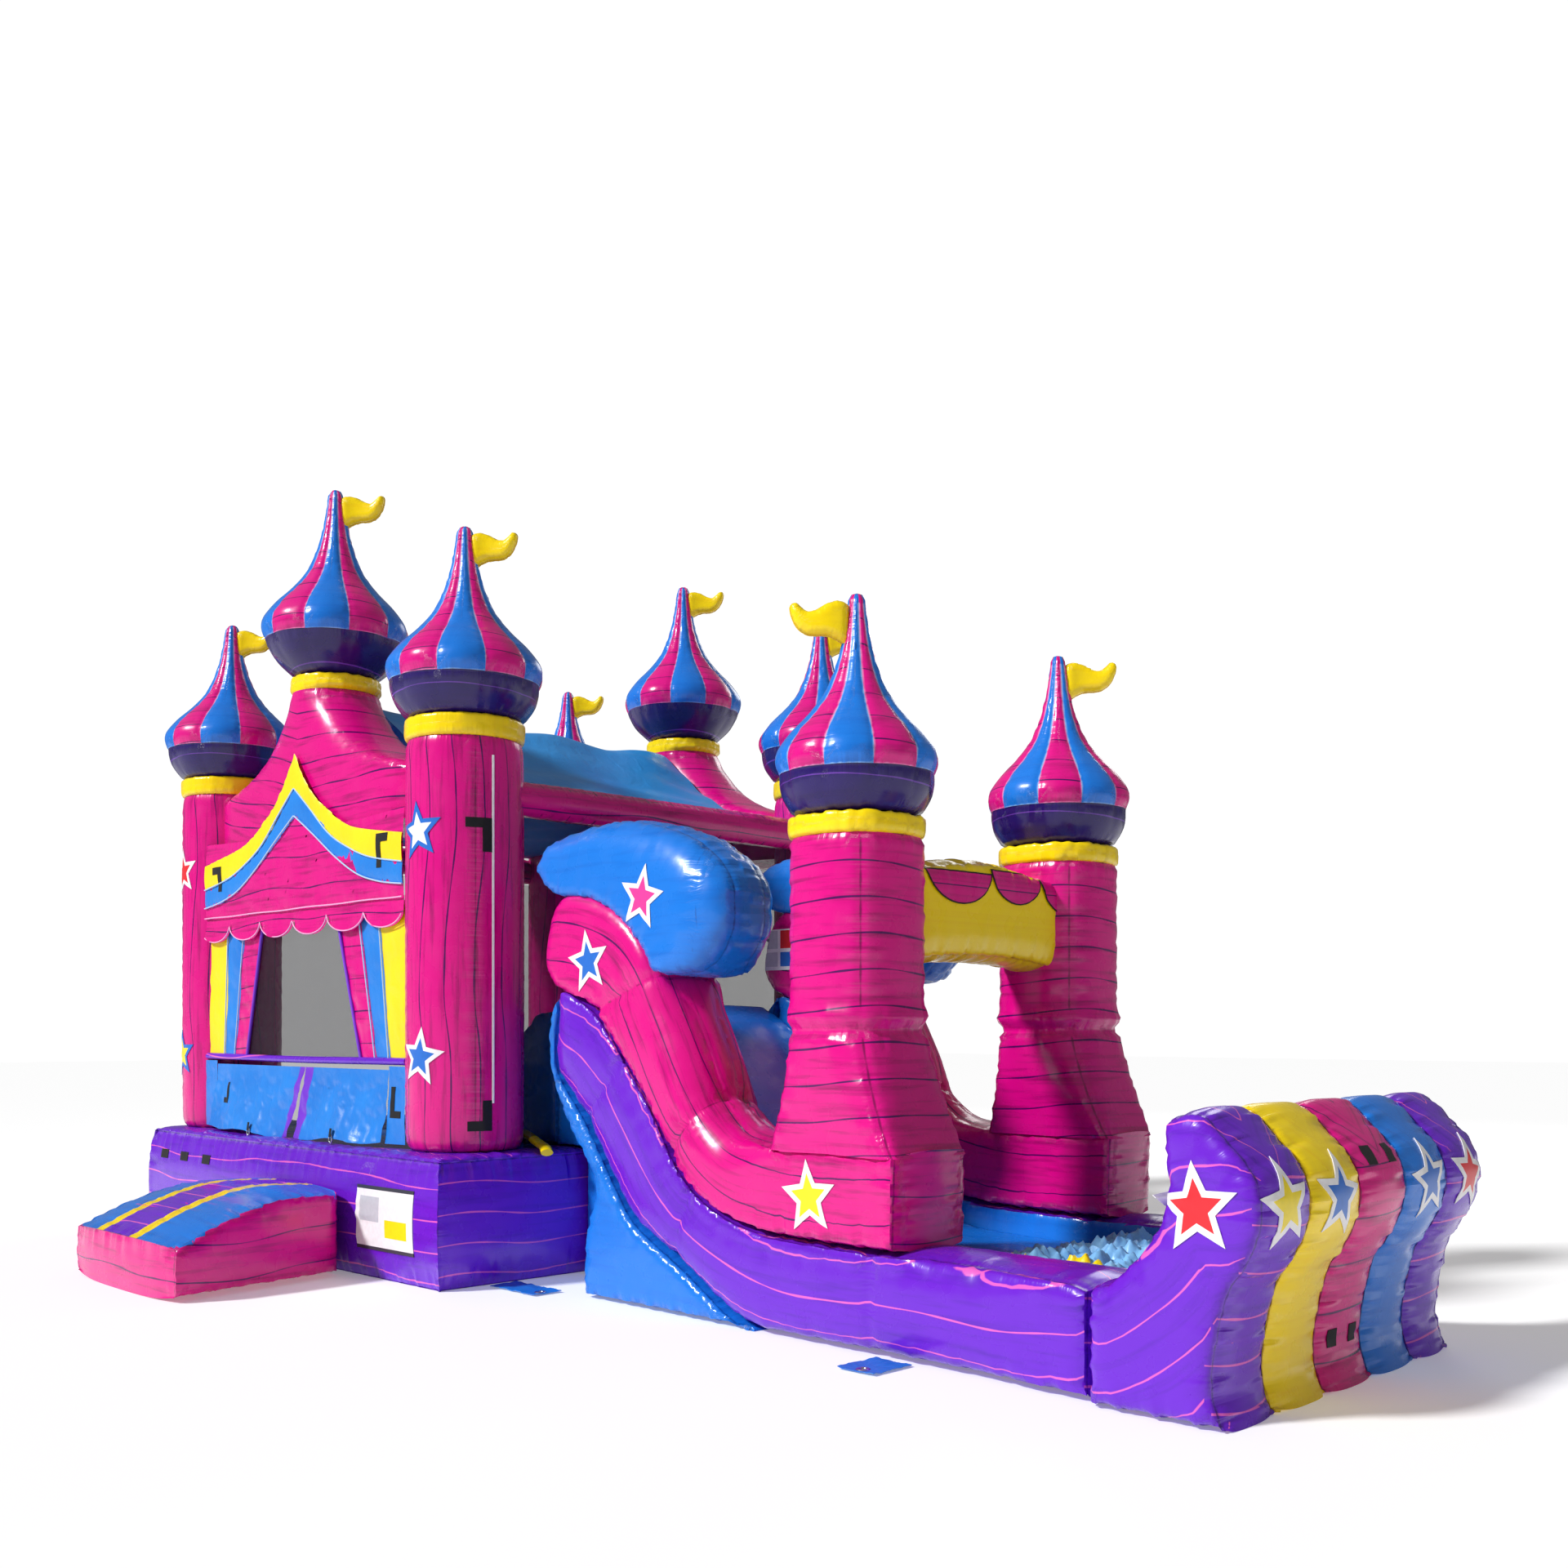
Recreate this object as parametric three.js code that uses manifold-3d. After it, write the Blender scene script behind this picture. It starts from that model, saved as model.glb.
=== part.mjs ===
// Inflatable combination bounce house: a square castle room with four corner
// turrets and two gable turrets, and a single-lane slide leaving its right side.
// Millimetres, +Z up. X runs along the front face towards the slide, Y to the back.
// The origin is the middle of the footprint, on the ground.
import * as THREE from 'three';
import { mergeVertices } from 'three/addons/utils/BufferGeometryUtils.js';
import Module from 'manifold-3d';

const wasm = await Module();
wasm.setup();

// ---------------------------------------------------------------- dimensions
const GAP = 0.3;              // clearance between touching pieces
const SKIN = 30;              // wall of the air-filled shells, each with an air port
const PORT_R = 100;           // air port between chambers

// house, about its own centre
const FLOOR_Z = 724;          // top of the air-filled floor
const BASE_X0 = -1860, BASE_X1 = 1990, BASE_Y0 = -2000, BASE_Y1 = 1900;
const AX = 1500, AY = 1495;   // corner turret axes
const TOWER_R = 335;
const TOWER_TOP = 3056;       // underside of the yellow collar
const COLLAR_H = 128;
const COLLAR_OUT = 26;        // how far a collar stands out of its turret
const DOME_R = 452, DOME_TIP = 4320;
const GABLE_R = 271, GABLE_TOP = 3567, GABLE_COLLAR_H = 107;
const GABLE_DOME_R = 462, GABLE_TIP = 4910;
const FRONT_Y = -1740;        // plane of the front panel
const NET_T = 8;              // netting wall thickness
const SIDE_X = 1700;          // plane of the side netting
const BACK_Y = 1700;          // plane of the rear netting
const BEAM_X = 1672, BEAM_Z = 2752, BEAM_R = 104;
const ROOF_T = 12;
const SILL_Z0 = 1190, SILL_Z1 = 1244;
const VALANCE_Z = 2166;       // seam above the scallops
const FLAP_T = 10;
const FLAP_HINGE_Z = 1184;

// entrance ramp
const RAMP_X0 = -105, RAMP_X1 = 1285, RAMP_Y0 = -3115, RAMP_H0 = 295, RAMP_H1 = 545;

// slide
const NEAR_Y0 = -1515, LANE_Y0 = -1004, LANE_Y1 = 146, FAR_Y1 = 558;
const DECK_Z = 1560;          // top of the slide
const BLOCK_X1 = 4783, BLOCK_Z = 892;
const COL_X = 4320, COL_NEAR_Y = -1245, COL_FAR_Y = 352, COL_R = 287;
const COL_TOP = 2279, COL_COLLAR_H = 99, COL_DOME_R = 376, COL_TIP = 3404;
const BUMPER_X0 = 5740, BUMPER_IN = 5990;
const BUMPER_Y0 = -1572, BUMPER_Y1 = 515;

// blower
const BLOW_X = -900, BLOW_Y = 2860, BLOW_Z = 330;
const SCROLL_R = 280, SCROLL_W = 260, DUCT_R = 125;

// ------------------------------------------------------------------- helpers
const V = (x, y) => new THREE.Vector2(x, y);

// merges doubles, drops empty triangles and turns the faces outwards
function clean(geometry) {
  let g = geometry.clone();
  for (const name of Object.keys(g.attributes)) if (name !== 'position') g.deleteAttribute(name);
  g = mergeVertices(g, 1e-3);
  const p = g.attributes.position, idx = g.index.array, keep = [];
  let volume = 0;
  const a = new THREE.Vector3(), b = new THREE.Vector3(), c = new THREE.Vector3();
  for (let i = 0; i < idx.length; i += 3) {
    const [u, v, w] = [idx[i], idx[i + 1], idx[i + 2]];
    if (u === v || v === w || u === w) continue;
    a.fromBufferAttribute(p, u); b.fromBufferAttribute(p, v); c.fromBufferAttribute(p, w);
    volume += a.dot(b.clone().cross(c)) / 6;
    keep.push(u, v, w);
  }
  if (volume < 0) for (let i = 0; i < keep.length; i += 3) [keep[i + 1], keep[i + 2]] = [keep[i + 2], keep[i + 1]];
  g.setIndex(keep);
  return g;
}

function toSolid(geometry) {
  const g = clean(geometry);
  const mesh = new wasm.Mesh({
    numProp: 3,
    vertProperties: new Float32Array(g.attributes.position.array),
    triVerts: new Uint32Array(g.index.array),
  });
  mesh.merge();
  return new wasm.Manifold(mesh);
}

function fromSolid(solid) {
  const m = solid.getMesh();
  const g = new THREE.BufferGeometry();
  const n = m.numProp, src = m.vertProperties, pos = new Float32Array((src.length / n) * 3);
  for (let i = 0; i < src.length / n; i++) pos.set(src.subarray(i * n, i * n + 3), i * 3);
  g.setAttribute('position', new THREE.BufferAttribute(pos, 3));
  g.setIndex(Array.from(m.triVerts));
  return clean(g);
}

const join = (...gs) => fromSolid(gs.map(toSolid).reduce((a, b) => a.add(b)));
const cut = (g, ...tools) => fromSolid(tools.map(toSolid).reduce((a, b) => a.subtract(b), toSolid(g)));
const overlap = (a, b) => fromSolid(toSolid(a).intersect(toSolid(b)));

const ex = new THREE.Vector3(1, 0, 0), ey = new THREE.Vector3(0, 1, 0), ez = new THREE.Vector3(0, 0, 1);

function extrude(points, depth, bevel = 0) {
  const shape = new THREE.Shape(points.map(([a, b]) => V(a, b)));
  const g = new THREE.ExtrudeGeometry(shape, {
    depth: depth - 2 * bevel, steps: 1, bevelEnabled: bevel > 0, bevelThickness: bevel,
    bevelSize: bevel, bevelOffset: -bevel, bevelSegments: 2, curveSegments: 6,
  });
  return g.translate(0, 0, bevel);
}
// outline in X and Z, from y0 to y1
function sideways(points, y0, y1, bevel = 0) {
  const g = extrude(points, y1 - y0, bevel);
  g.applyMatrix4(new THREE.Matrix4().makeBasis(ex, ez, ey.clone().negate()));
  return clean(g.translate(0, y1, 0));
}
// outline in Y and Z, from x0 to x1
function lengthways(points, x0, x1, bevel = 0) {
  const g = extrude(points, x1 - x0, bevel);
  g.applyMatrix4(new THREE.Matrix4().makeBasis(ey, ez, ex));
  return clean(g.translate(x0, 0, 0));
}
// outline in X and Y, from z0 to z1
function upright(points, z0, z1, bevel = 0) {
  return clean(extrude(points, z1 - z0, bevel).translate(0, 0, z0));
}
function box(x0, x1, y0, y1, z0, z1) {
  return clean(new THREE.BoxGeometry(x1 - x0, y1 - y0, z1 - z0)
    .translate((x0 + x1) / 2, (y0 + y1) / 2, (z0 + z1) / 2));
}
// profile of [radius, z] turned about an upright axis at x, y
function turned(profile, x, y, segments = 24) {
  const g = new THREE.LatheGeometry(profile.map(([r, z]) => V(r, z)), segments);
  return clean(g.rotateX(Math.PI / 2).translate(x, y, 0));
}
function post(r, z0, z1, x, y, segments = 24) {
  return turned([[0, z0], [r, z0], [r, z1], [0, z1]], x, y, segments);
}
// round bar along X or Y
function barX(r, x0, x1, y, z, segments = 24) {
  return clean(new THREE.CylinderGeometry(r, r, x1 - x0, segments).rotateZ(Math.PI / 2)
    .translate((x0 + x1) / 2, y, z));
}
function barY(r, y0, y1, x, z, segments = 24) {
  return clean(new THREE.CylinderGeometry(r, r, y1 - y0, segments).translate(x, (y0 + y1) / 2, z));
}
const rounded = (x0, x1, y0, y1, c) => [[x0 + c, y0], [x1 - c, y0], [x1, y0 + c], [x1, y1 - c],
  [x1 - c, y1], [x0 + c, y1], [x0, y1 - c], [x0, y0 + c]];

const group = new THREE.Group();
function piece(name, geometry, color, roughness = 0.35, metalness = 0) {
  geometry.computeVertexNormals();
  const mesh = new THREE.Mesh(geometry, new THREE.MeshStandardMaterial({ color, roughness, metalness }));
  mesh.name = name;
  group.add(mesh);
}
const PINK = 0xe8178a, PURPLE = 0x7f35d6, BLUE = 0x2f93e6, YELLOW = 0xffe10a, NET = 0x15141c,
  STEEL = 0x9aa0a6, DARK = 0x22262c, ORANGE = 0xd9541e;

// ---------------------------------------------------------------- house floor
// one air chamber, open at the back where the inflation sleeve joins it
piece('base_floor', cut(upright(rounded(BASE_X0, BASE_X1, BASE_Y0, BASE_Y1, 70), 0, FLOOR_Z, 60),
  box(BASE_X0 + 1.5 * SKIN, BASE_X1 - 1.5 * SKIN, BASE_Y0 + 1.5 * SKIN, BASE_Y1 - 1.5 * SKIN, SKIN, FLOOR_Z - SKIN),
  barY(PORT_R, BASE_Y1 - 80, BASE_Y1 + 10, BLOW_X, BLOW_Z)), PURPLE);

const rampTop = (t) => RAMP_H0 + (RAMP_H1 - RAMP_H0) * t + 55 * Math.sin(Math.PI * t);
const rampPts = [[BASE_Y0 - GAP, 0], [BASE_Y0 - GAP, RAMP_H1]];
for (let i = 1; i < 6; i++) rampPts.push([BASE_Y0 - GAP + (RAMP_Y0 - BASE_Y0) * (i / 6), rampTop(1 - i / 6)]);
rampPts.push([RAMP_Y0, RAMP_H0], [RAMP_Y0, 0]);
const rampIn = [[BASE_Y0 - SKIN, SKIN], [BASE_Y0 - SKIN, RAMP_H1 - 20], [BASE_Y0 - 520, RAMP_H0 + 140], [RAMP_Y0 + 60, RAMP_H0 - SKIN], [RAMP_Y0 + 60, SKIN]];
piece('entrance_ramp', cut(lengthways(rampPts, RAMP_X0, RAMP_X1, 30), lengthways(rampIn, RAMP_X0 + 45, RAMP_X1 - 45),
  barY(PORT_R, BASE_Y0 - 100, BASE_Y0 + 10, (RAMP_X0 + RAMP_X1) / 2, 260)), PINK);

// ---------------------------------------------------------- turrets and domes
const collar = (r, z, h) => [[r, z], [r + COLLAR_OUT * 0.8, z + h * 0.15], [r + COLLAR_OUT, z + h * 0.5],
  [r + COLLAR_OUT * 0.8, z + h * 0.85], [r, z + h]];
function dome(R, rc, z0, zt) {
  const h = zt - z0;
  return [[0, z0], [rc, z0], [R * 0.985, z0 + h * 0.215], [R, z0 + h * 0.25], [R * 0.955, z0 + h * 0.29],
    [R * 0.8, z0 + h * 0.365], [R * 0.57, z0 + h * 0.45], [R * 0.33, z0 + h * 0.587],
    [R * 0.165, z0 + h * 0.775], [R * 0.065, z0 + h * 0.975], [0, zt]];
}
function domeShell(R, rc, z0, zt) {
  const h = zt - z0, w = SKIN;
  return [[PORT_R * 0.6, z0], ...dome(R, rc, z0, zt).slice(1), [0, z0 + h * 0.7], [R * 0.22, z0 + h * 0.56],
    [R * 0.57 - w, z0 + h * 0.43], [R * 0.8 - w, z0 + h * 0.345], [R - w, z0 + h * 0.25], [rc - w, z0 + w], [PORT_R * 0.6, z0 + w], [PORT_R * 0.6, z0]];
}
// wavy pennant, its root at the origin, waving along +X, standing in the XZ plane
const PENNANT = [[0, -95], [60, -88], [120, -72], [180, -42], [235, 10], [275, 62], [258, 70], [225, 66],
  [180, 62], [120, 72], [60, 84], [0, 92]];
function pennant(x, y, z, angle, scale) {
  const g = sideways(PENNANT.map(([a, b]) => [a * scale, b * scale]), -26 * scale, 26 * scale);
  return g.rotateZ(angle).translate(x, y, z);
}
function turretTop(where, x, y, R, rc, z0, zt, way, scale) {
  const d = turned(domeShell(R, rc, z0 + GAP, zt), x, y);
  piece('dome_' + where, d, 0xb14fd0);
  const a = way > 0 ? Math.PI / 4 : Math.PI * 1.25;
  const f = pennant(x + 12 * Math.cos(a), y + 12 * Math.sin(a), zt - 125 * scale, a, scale);
  const clear = turned(dome(R + GAP, rc + GAP, z0, zt + GAP), x, y);
  piece('flag_' + where, cut(f, clear), YELLOW);
}
const corners = [['front_left', -AX, -AY], ['front_right', AX, -AY], ['back_left', -AX, AY], ['back_right', AX, AY]];
const towerProfile = [[PORT_R, FLOOR_Z + GAP], [TOWER_R, FLOOR_Z + GAP], ...collar(TOWER_R, TOWER_TOP, COLLAR_H),
  [0, TOWER_TOP + COLLAR_H], [0, TOWER_TOP + COLLAR_H - SKIN], [TOWER_R - SKIN, TOWER_TOP + COLLAR_H - SKIN],
  [TOWER_R - SKIN, FLOOR_Z + SKIN], [PORT_R, FLOOR_Z + SKIN], [PORT_R, FLOOR_Z + GAP]];
for (const [where, x, y] of corners) {
  piece('turret_' + where, turned(towerProfile, x, y), PINK);
  turretTop(where, x, y, DOME_R, TOWER_R, TOWER_TOP + COLLAR_H, DOME_TIP, 1, 1);
}
// room cleared round every turret for the pieces that run up to it
const turretRoom = corners.map(([, x, y]) =>
  turned([[0, FLOOR_Z - 2], [TOWER_R + GAP, FLOOR_Z - 2], [TOWER_R + GAP, TOWER_TOP - GAP],
    [TOWER_R + COLLAR_OUT + GAP, TOWER_TOP - GAP], [TOWER_R + COLLAR_OUT + GAP, TOWER_TOP + COLLAR_H + 1],
    [0, TOWER_TOP + COLLAR_H + 1]], x, y));

// --------------------------------------------------- gables, beams and roof
const flare = [[0, GABLE_TOP + 0.001], [GABLE_R, GABLE_TOP], [330, 3480], [440, 3350], [600, 3205], [820, 3080],
  [1080, 3000], [1500, 2960], [1500, 2640]];
const flareOutline = [...flare.slice(1), ...flare.slice(1).map(([x, z]) => [-x, z]).reverse()];
function gable(s) {
  // s = -1 front, 1 back: the foot is set out to the panel plane, the top is round
  const y = (v) => s * v;
  const side = [[y(1752), 2640], [y(1758), 2900], [y(1766), 3300], [y(1766), 3600], [y(1224), 3600],
    [y(1240), 3250], [y(1300), 2900], [y(1360), 2640]];
  const body = overlap(sideways(flareOutline, Math.min(y(1100), y(1800)), Math.max(y(1100), y(1800))),
    lengthways(side, -1500, 1500));
  const ring = turned([[0, GABLE_TOP - 40], [GABLE_R, GABLE_TOP - 40], ...collar(GABLE_R, GABLE_TOP, GABLE_COLLAR_H),
    [0, GABLE_TOP + GABLE_COLLAR_H]], 0, y(AY));
  return cut(join(body, ring), ...turretRoom);
}
piece('gable_front', gable(-1), PINK);
piece('gable_back', gable(1), PINK);
turretTop('gable_front', 0, -AY, GABLE_DOME_R, GABLE_R, GABLE_TOP + GABLE_COLLAR_H, GABLE_TIP, 1, 1.05);
turretTop('gable_back', 0, AY, GABLE_DOME_R, GABLE_R, GABLE_TOP + GABLE_COLLAR_H, GABLE_TIP, 1, 1.05);

for (const [name, s] of [['beam_left', -1], ['beam_right', 1]]) {
  piece(name, cut(barY(BEAM_R, -AY, AY, s * BEAM_X, BEAM_Z, 20), ...turretRoom), PINK);
}
const roofLine = [[0, 3545], [150, 3475], [320, 3345], [520, 3195], [760, 3055], [1040, 2955], [1340, 2900], [1672, 2858]];
const roofPts = [...roofLine.slice().reverse().map(([x, z]) => [-x, z + ROOF_T]),
  ...roofLine.slice(1).map(([x, z]) => [x, z + ROOF_T]),
  ...roofLine.slice().reverse().map(([x, z]) => [x, z]), ...roofLine.slice(1).map(([x, z]) => [-x, z])];
const gableRoom = [-1, 1].map((s) => box(-1500, 1500, Math.min(s * 1200, s * 1800), Math.max(s * 1200, s * 1800), 2630, 3720));
piece('roof_cover', cut(sideways(roofPts, -1220, 1220), ...turretRoom, ...gableRoom), BLUE, 0.5);

// ------------------------------------------------------------------- netting
const NET_TOP = BEAM_Z - BEAM_R - GAP;
piece('net_wall_left', cut(box(-SIDE_X - NET_T, -SIDE_X, -AY, AY, FLOOR_Z + GAP, NET_TOP - 2), ...turretRoom), NET, 0.8);
piece('net_wall_right', cut(box(SIDE_X, SIDE_X + NET_T, -AY, AY, FLOOR_Z + GAP, NET_TOP - 2),
  box(SIDE_X - 5, SIDE_X + NET_T + 5, LANE_Y0 - 2, LANE_Y1 + 2, FLOOR_Z - 10, 2480), ...turretRoom), NET, 0.8);
piece('net_wall_back', cut(box(-AX, AX, BACK_Y, BACK_Y + NET_T, FLOOR_Z + GAP, 2640 - GAP), ...turretRoom), NET, 0.8);

// --------------------------------------------------------------- front panel
// everything here is flat vinyl sewn between the two front turrets
const P0 = FRONT_Y - 10, P1 = FRONT_Y;     // front panel skins
const panel = (pts, y0 = P0, y1 = P1) => cut(sideways(pts, y0, y1), turretRoom[0], turretRoom[1]);
piece('window_net_front', panel([[-708, SILL_Z1 + GAP], [788, SILL_Z1 + GAP], [521, 2100], [-493, 2100]], P1 - NET_T, P1), NET, 0.8);
piece('curtain_left', panel([[-1500, SILL_Z1 + GAP], [-708 - GAP, SILL_Z1 + GAP], [-493 - GAP, 2100], [-1500, 2100]]), BLUE);
piece('curtain_right', panel([[788 + GAP, SILL_Z1 + GAP], [1500, SILL_Z1 + GAP], [1500, 2100], [521 + GAP, 2100]]), BLUE);
piece('sill_band', panel([[-1500, SILL_Z0], [1500, SILL_Z0], [1500, SILL_Z1], [-1500, SILL_Z1]], P0 - 12, P1), PURPLE);
const scallops = [];
for (let i = 0; i < 6; i++) {
  const x0 = -1500 + i * 500;
  for (let j = 0; j < 6; j++) scallops.push([x0 + (j / 6) * 500, 2112 - 122 * Math.sin(Math.PI * j / 6) ** 0.7]);
}
piece('valance', panel([[-1500, VALANCE_Z + 65], ...scallops, [1500, 2112], [1500, VALANCE_Z + 65]], P0 - 12, P0 - 2 - GAP), PINK);
const swagTop = [[-1500, 2500], [-1240, 2545], [-900, 2625], [-500, 2760], [-240, 2905], [-90, 3040], [0, 3130],
  [90, 3040], [240, 2905], [500, 2760], [900, 2625], [1240, 2545], [1500, 2500]];
const swagStrip = [[-1762.4, 2200], [-1762.4, 2640], [-1768.4, 2900], [-1774.4, 3200], [-1764.4, 3200], [-1758.4, 2900],
  [-1752.4, 2640], [-1752.4, 2200]];
piece('swag', cut(overlap(sideways([[-1500, VALANCE_Z + 65 + GAP], ...swagTop, [1500, VALANCE_Z + 65 + GAP]].reverse(), -1900, -1700),
  lengthways(swagStrip, -1500, 1500)), turretRoom[0], turretRoom[1]), YELLOW);

// two loose door flaps hang from the sill; their inner edges make the entry slit
const FLAP_Y0 = P0 - 12, FLAP_Y1 = FLAP_Y0 + FLAP_T, FLAP_Z0 = FLOOR_Z + 8;
piece('door_flap_left', sideways([[-1140, FLAP_Z0], [0, FLAP_Z0], [120, FLAP_HINGE_Z], [-1140, FLAP_HINGE_Z]], FLAP_Y0, FLAP_Y1), BLUE);
piece('door_flap_right', sideways([[14, FLAP_Z0], [1140, FLAP_Z0], [1140, FLAP_HINGE_Z], [285, FLAP_HINGE_Z]], FLAP_Y0, FLAP_Y1), BLUE);

// --------------------------------------------------------------------- slide
const seam = [[2404, 1639], [2625, 1569], [2757, 1487], [3134, 1078], [3371, 749], [3598, 585], [3921, 495], [4377, 474], [BLOCK_X1, 474]];
const lowerWall = [[2404, 1639], [2330, 1388], [2344, 1187], [2592, 930], [2855, 589], [3006, 427], [3404, 224], [3700, 60],
  [3900, 0], [BUMPER_X0 - GAP, 0], [BUMPER_X0 - GAP, 440], [5640, 470], [4900, 480], ...seam.slice().reverse().slice(0, -1)];
const upperWall = [...seam.map(([x, z]) => [x, z + GAP + 0.2]), [BLOCK_X1, BLOCK_Z], [3990, BLOCK_Z], [3740, 930], [3600, 1020],
  [3522, 1120], [3454, 1270], [3339, 1483], [3206, 1709], [3134, 1828], [3020, 1950], [2886, 2046], [2680, 2130], [2463, 2154],
  [2324, 2062], [2253, 1829], [2290, 1700]];
const hood = [[2188, 2350], [2330, 2322], [2390, 2230], [2463, 2162], [2690, 2138], [2893, 2052], [3028, 1955], [3142, 1832],
  [3214, 1711], [3568, 1702], [3711, 1795], [3797, 1895], [3818, 2013], [3797, 2118], [3689, 2215], [3489, 2345], [3162, 2453],
  [2839, 2506], [2577, 2502], [2370, 2450]];
const walls = [['near', NEAR_Y0, LANE_Y0 - GAP], ['far', LANE_Y1 + GAP, FAR_Y1]];
for (const [side, y0, y1] of walls) {
  piece('slide_lower_wall_' + side, sideways(lowerWall.slice().reverse(), y0, y1, 0), PURPLE);
  piece('slide_upper_wall_' + side, sideways(upperWall, y0, y1, 0), PINK);
  piece('slide_hood_' + side, sideways(hood.slice().reverse(), y0, y1, 0), BLUE);
}
const lane = sideways([[BASE_X1 + GAP, 0], [BASE_X1 + GAP, FLOOR_Z + GAP], [SIDE_X + NET_T + 2, FLOOR_Z + GAP], [SIDE_X + NET_T + 2, DECK_Z],
  [2300, DECK_Z], [2560, 1420], [3420, 700], [3650, 470], [3950, 360], [BLOCK_X1, 330], [BUMPER_IN - GAP, 250], [BUMPER_IN - GAP, 0]].reverse(),
LANE_Y0, LANE_Y1);
// a blue panel carries each side wall down to the ground; its house end is cut back in a hollow curve
const underPanel = [[2570, 0], [3885, 0], [3698, 58], [3402, 222], [3004, 425], [2853, 587], [2590, 928], [2342, 1185], [2328, 1386], [2400, 1636],
  [2300, 1540], [2262, 1388], [2290, 1160], [2449, 880], [2590, 720], [2665, 573], [2585, 320]];
const underNear = sideways(underPanel, NEAR_Y0 + 28, LANE_Y0 + 1);
const underFar = sideways(underPanel, LANE_Y1 - 1, FAR_Y1 - 28);
const laneIn = sideways([[BASE_X1 + SKIN, SKIN], [BASE_X1 + SKIN, DECK_Z - SKIN], [2290, DECK_Z - SKIN], [2540, 1390], [3400, 670], [3640, 440],
  [3940, 328], [BLOCK_X1, 298], [BUMPER_IN - SKIN, 222], [BUMPER_IN - SKIN, SKIN]].reverse(), LANE_Y0 + SKIN, LANE_Y1 - SKIN);
piece('slide_bed', cut(join(lane, underNear, underFar), laneIn, barX(PORT_R, BASE_X1 - 10, BASE_X1 + 80, (LANE_Y0 + LANE_Y1) / 2, 300)), BLUE);

const bumperProfile = [[BUMPER_X0, 0], [BUMPER_X0, 454], [5820, 484], [5931, 578], [6015, 682], [6053, 765], [6068, 860], [6053, 1059],
  [6110, 1120], [6200, 1138], [6260, 1105], [6328, 1033], [6390, 973], [6438, 900], [6460, 787], [6438, 672], [6384, 564], [6328, 480],
  [6279, 267], [6272, 136], [6315, 0]].reverse();
piece('end_bumper', cut(sideways(bumperProfile, BUMPER_Y0, BUMPER_Y1),
  box(BUMPER_X0 - 50, BUMPER_IN, LANE_Y0 - GAP, LANE_Y1 + GAP, -10, 1300),
  sideways([[6030, 30], [6100, 860], [6090, 1060], [6200, 1100], [6300, 1010], [6405, 880], [6424, 790], [6352, 580], [6292, 470],
    [6244, 270], [6240, 140], [6270, 30]].reverse(), BUMPER_Y0 + SKIN, BUMPER_Y1 - SKIN),
  barX(60, BUMPER_IN - 10, BUMPER_IN + 60, (LANE_Y0 + LANE_Y1) / 2, 120, 16)), YELLOW);

// loose sheet lying in the landing
const linerTop = [[4800, 345], [4980, 420], [5150, 375], [5330, 445], [5520, 370], [5700, 430], [5860, 340], [5960, 300]];
const linerLow = (x) => 330 - (80 * (x - BLOCK_X1)) / (BUMPER_IN - GAP - BLOCK_X1) + 1.2;
piece('landing_liner', sideways([...linerTop, [5960, linerLow(5960)], [4800, linerLow(4800)]], LANE_Y0 + 20, LANE_Y1 - 20), BLUE, 0.5);

for (const [side, y, y0, y1] of [['near', COL_NEAR_Y, NEAR_Y0, LANE_Y0 - GAP], ['far', COL_FAR_Y, LANE_Y1 + GAP, FAR_Y1]]) {
  const foot = clean(new THREE.CylinderGeometry(0.5 / Math.SQRT1_2 * 0.5, 0.5 / Math.SQRT1_2, 1, 4, 1).rotateY(Math.PI / 4).rotateX(Math.PI / 2)
    .scale(780, y1 - y0, 560).translate(4388, (y0 + y1) / 2, BLOCK_Z + GAP + 280));
  const shaft = turned([[0, 1250], [COL_R, 1250], ...collar(COL_R, COL_TOP, COL_COLLAR_H), [0, COL_TOP + COL_COLLAR_H]], COL_X, y);
  piece('slide_column_' + side, cut(join(foot, shaft), post(COL_R - SKIN, 1350, COL_TOP + COL_COLLAR_H - SKIN, COL_X, y),
    post(PORT_R * 0.8, BLOCK_Z - 10, 1360, COL_X, y, 16)), PINK);
  turretTop('slide_' + side, COL_X, y, COL_DOME_R, COL_R, COL_TOP + COL_COLLAR_H, COL_TIP, side === 'near' ? -1 : 1, 0.9);
}
const columnRoom = [COL_NEAR_Y, COL_FAR_Y].map((y) => post(COL_R + GAP, 1200, COL_TOP - GAP, COL_X, y));
piece('slide_arch', cut(lengthways([[-1245, 1640], [-900, 1722], [-446, 1745], [0, 1722], [352, 1640], [352, 2150], [0, 2205], [-446, 2250],
  [-900, 2205], [-1245, 2150]], 4130, 4480), ...columnRoom), YELLOW);

// steps inside the room, up to the top of the slide
const climb = [[560, FLOOR_Z + GAP]];
for (let i = 0; i < 5; i++) climb.push([560 + i * 210, FLOOR_Z + GAP + (i + 0.55) * 160], [640 + i * 210, FLOOR_Z + GAP + (i + 1) * 160]);
climb.push([SIDE_X - 2, DECK_Z - 10], [SIDE_X - 2, FLOOR_Z + GAP]);
piece('climb_steps', sideways(climb.reverse(), LANE_Y0, LANE_Y1), YELLOW);

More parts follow.
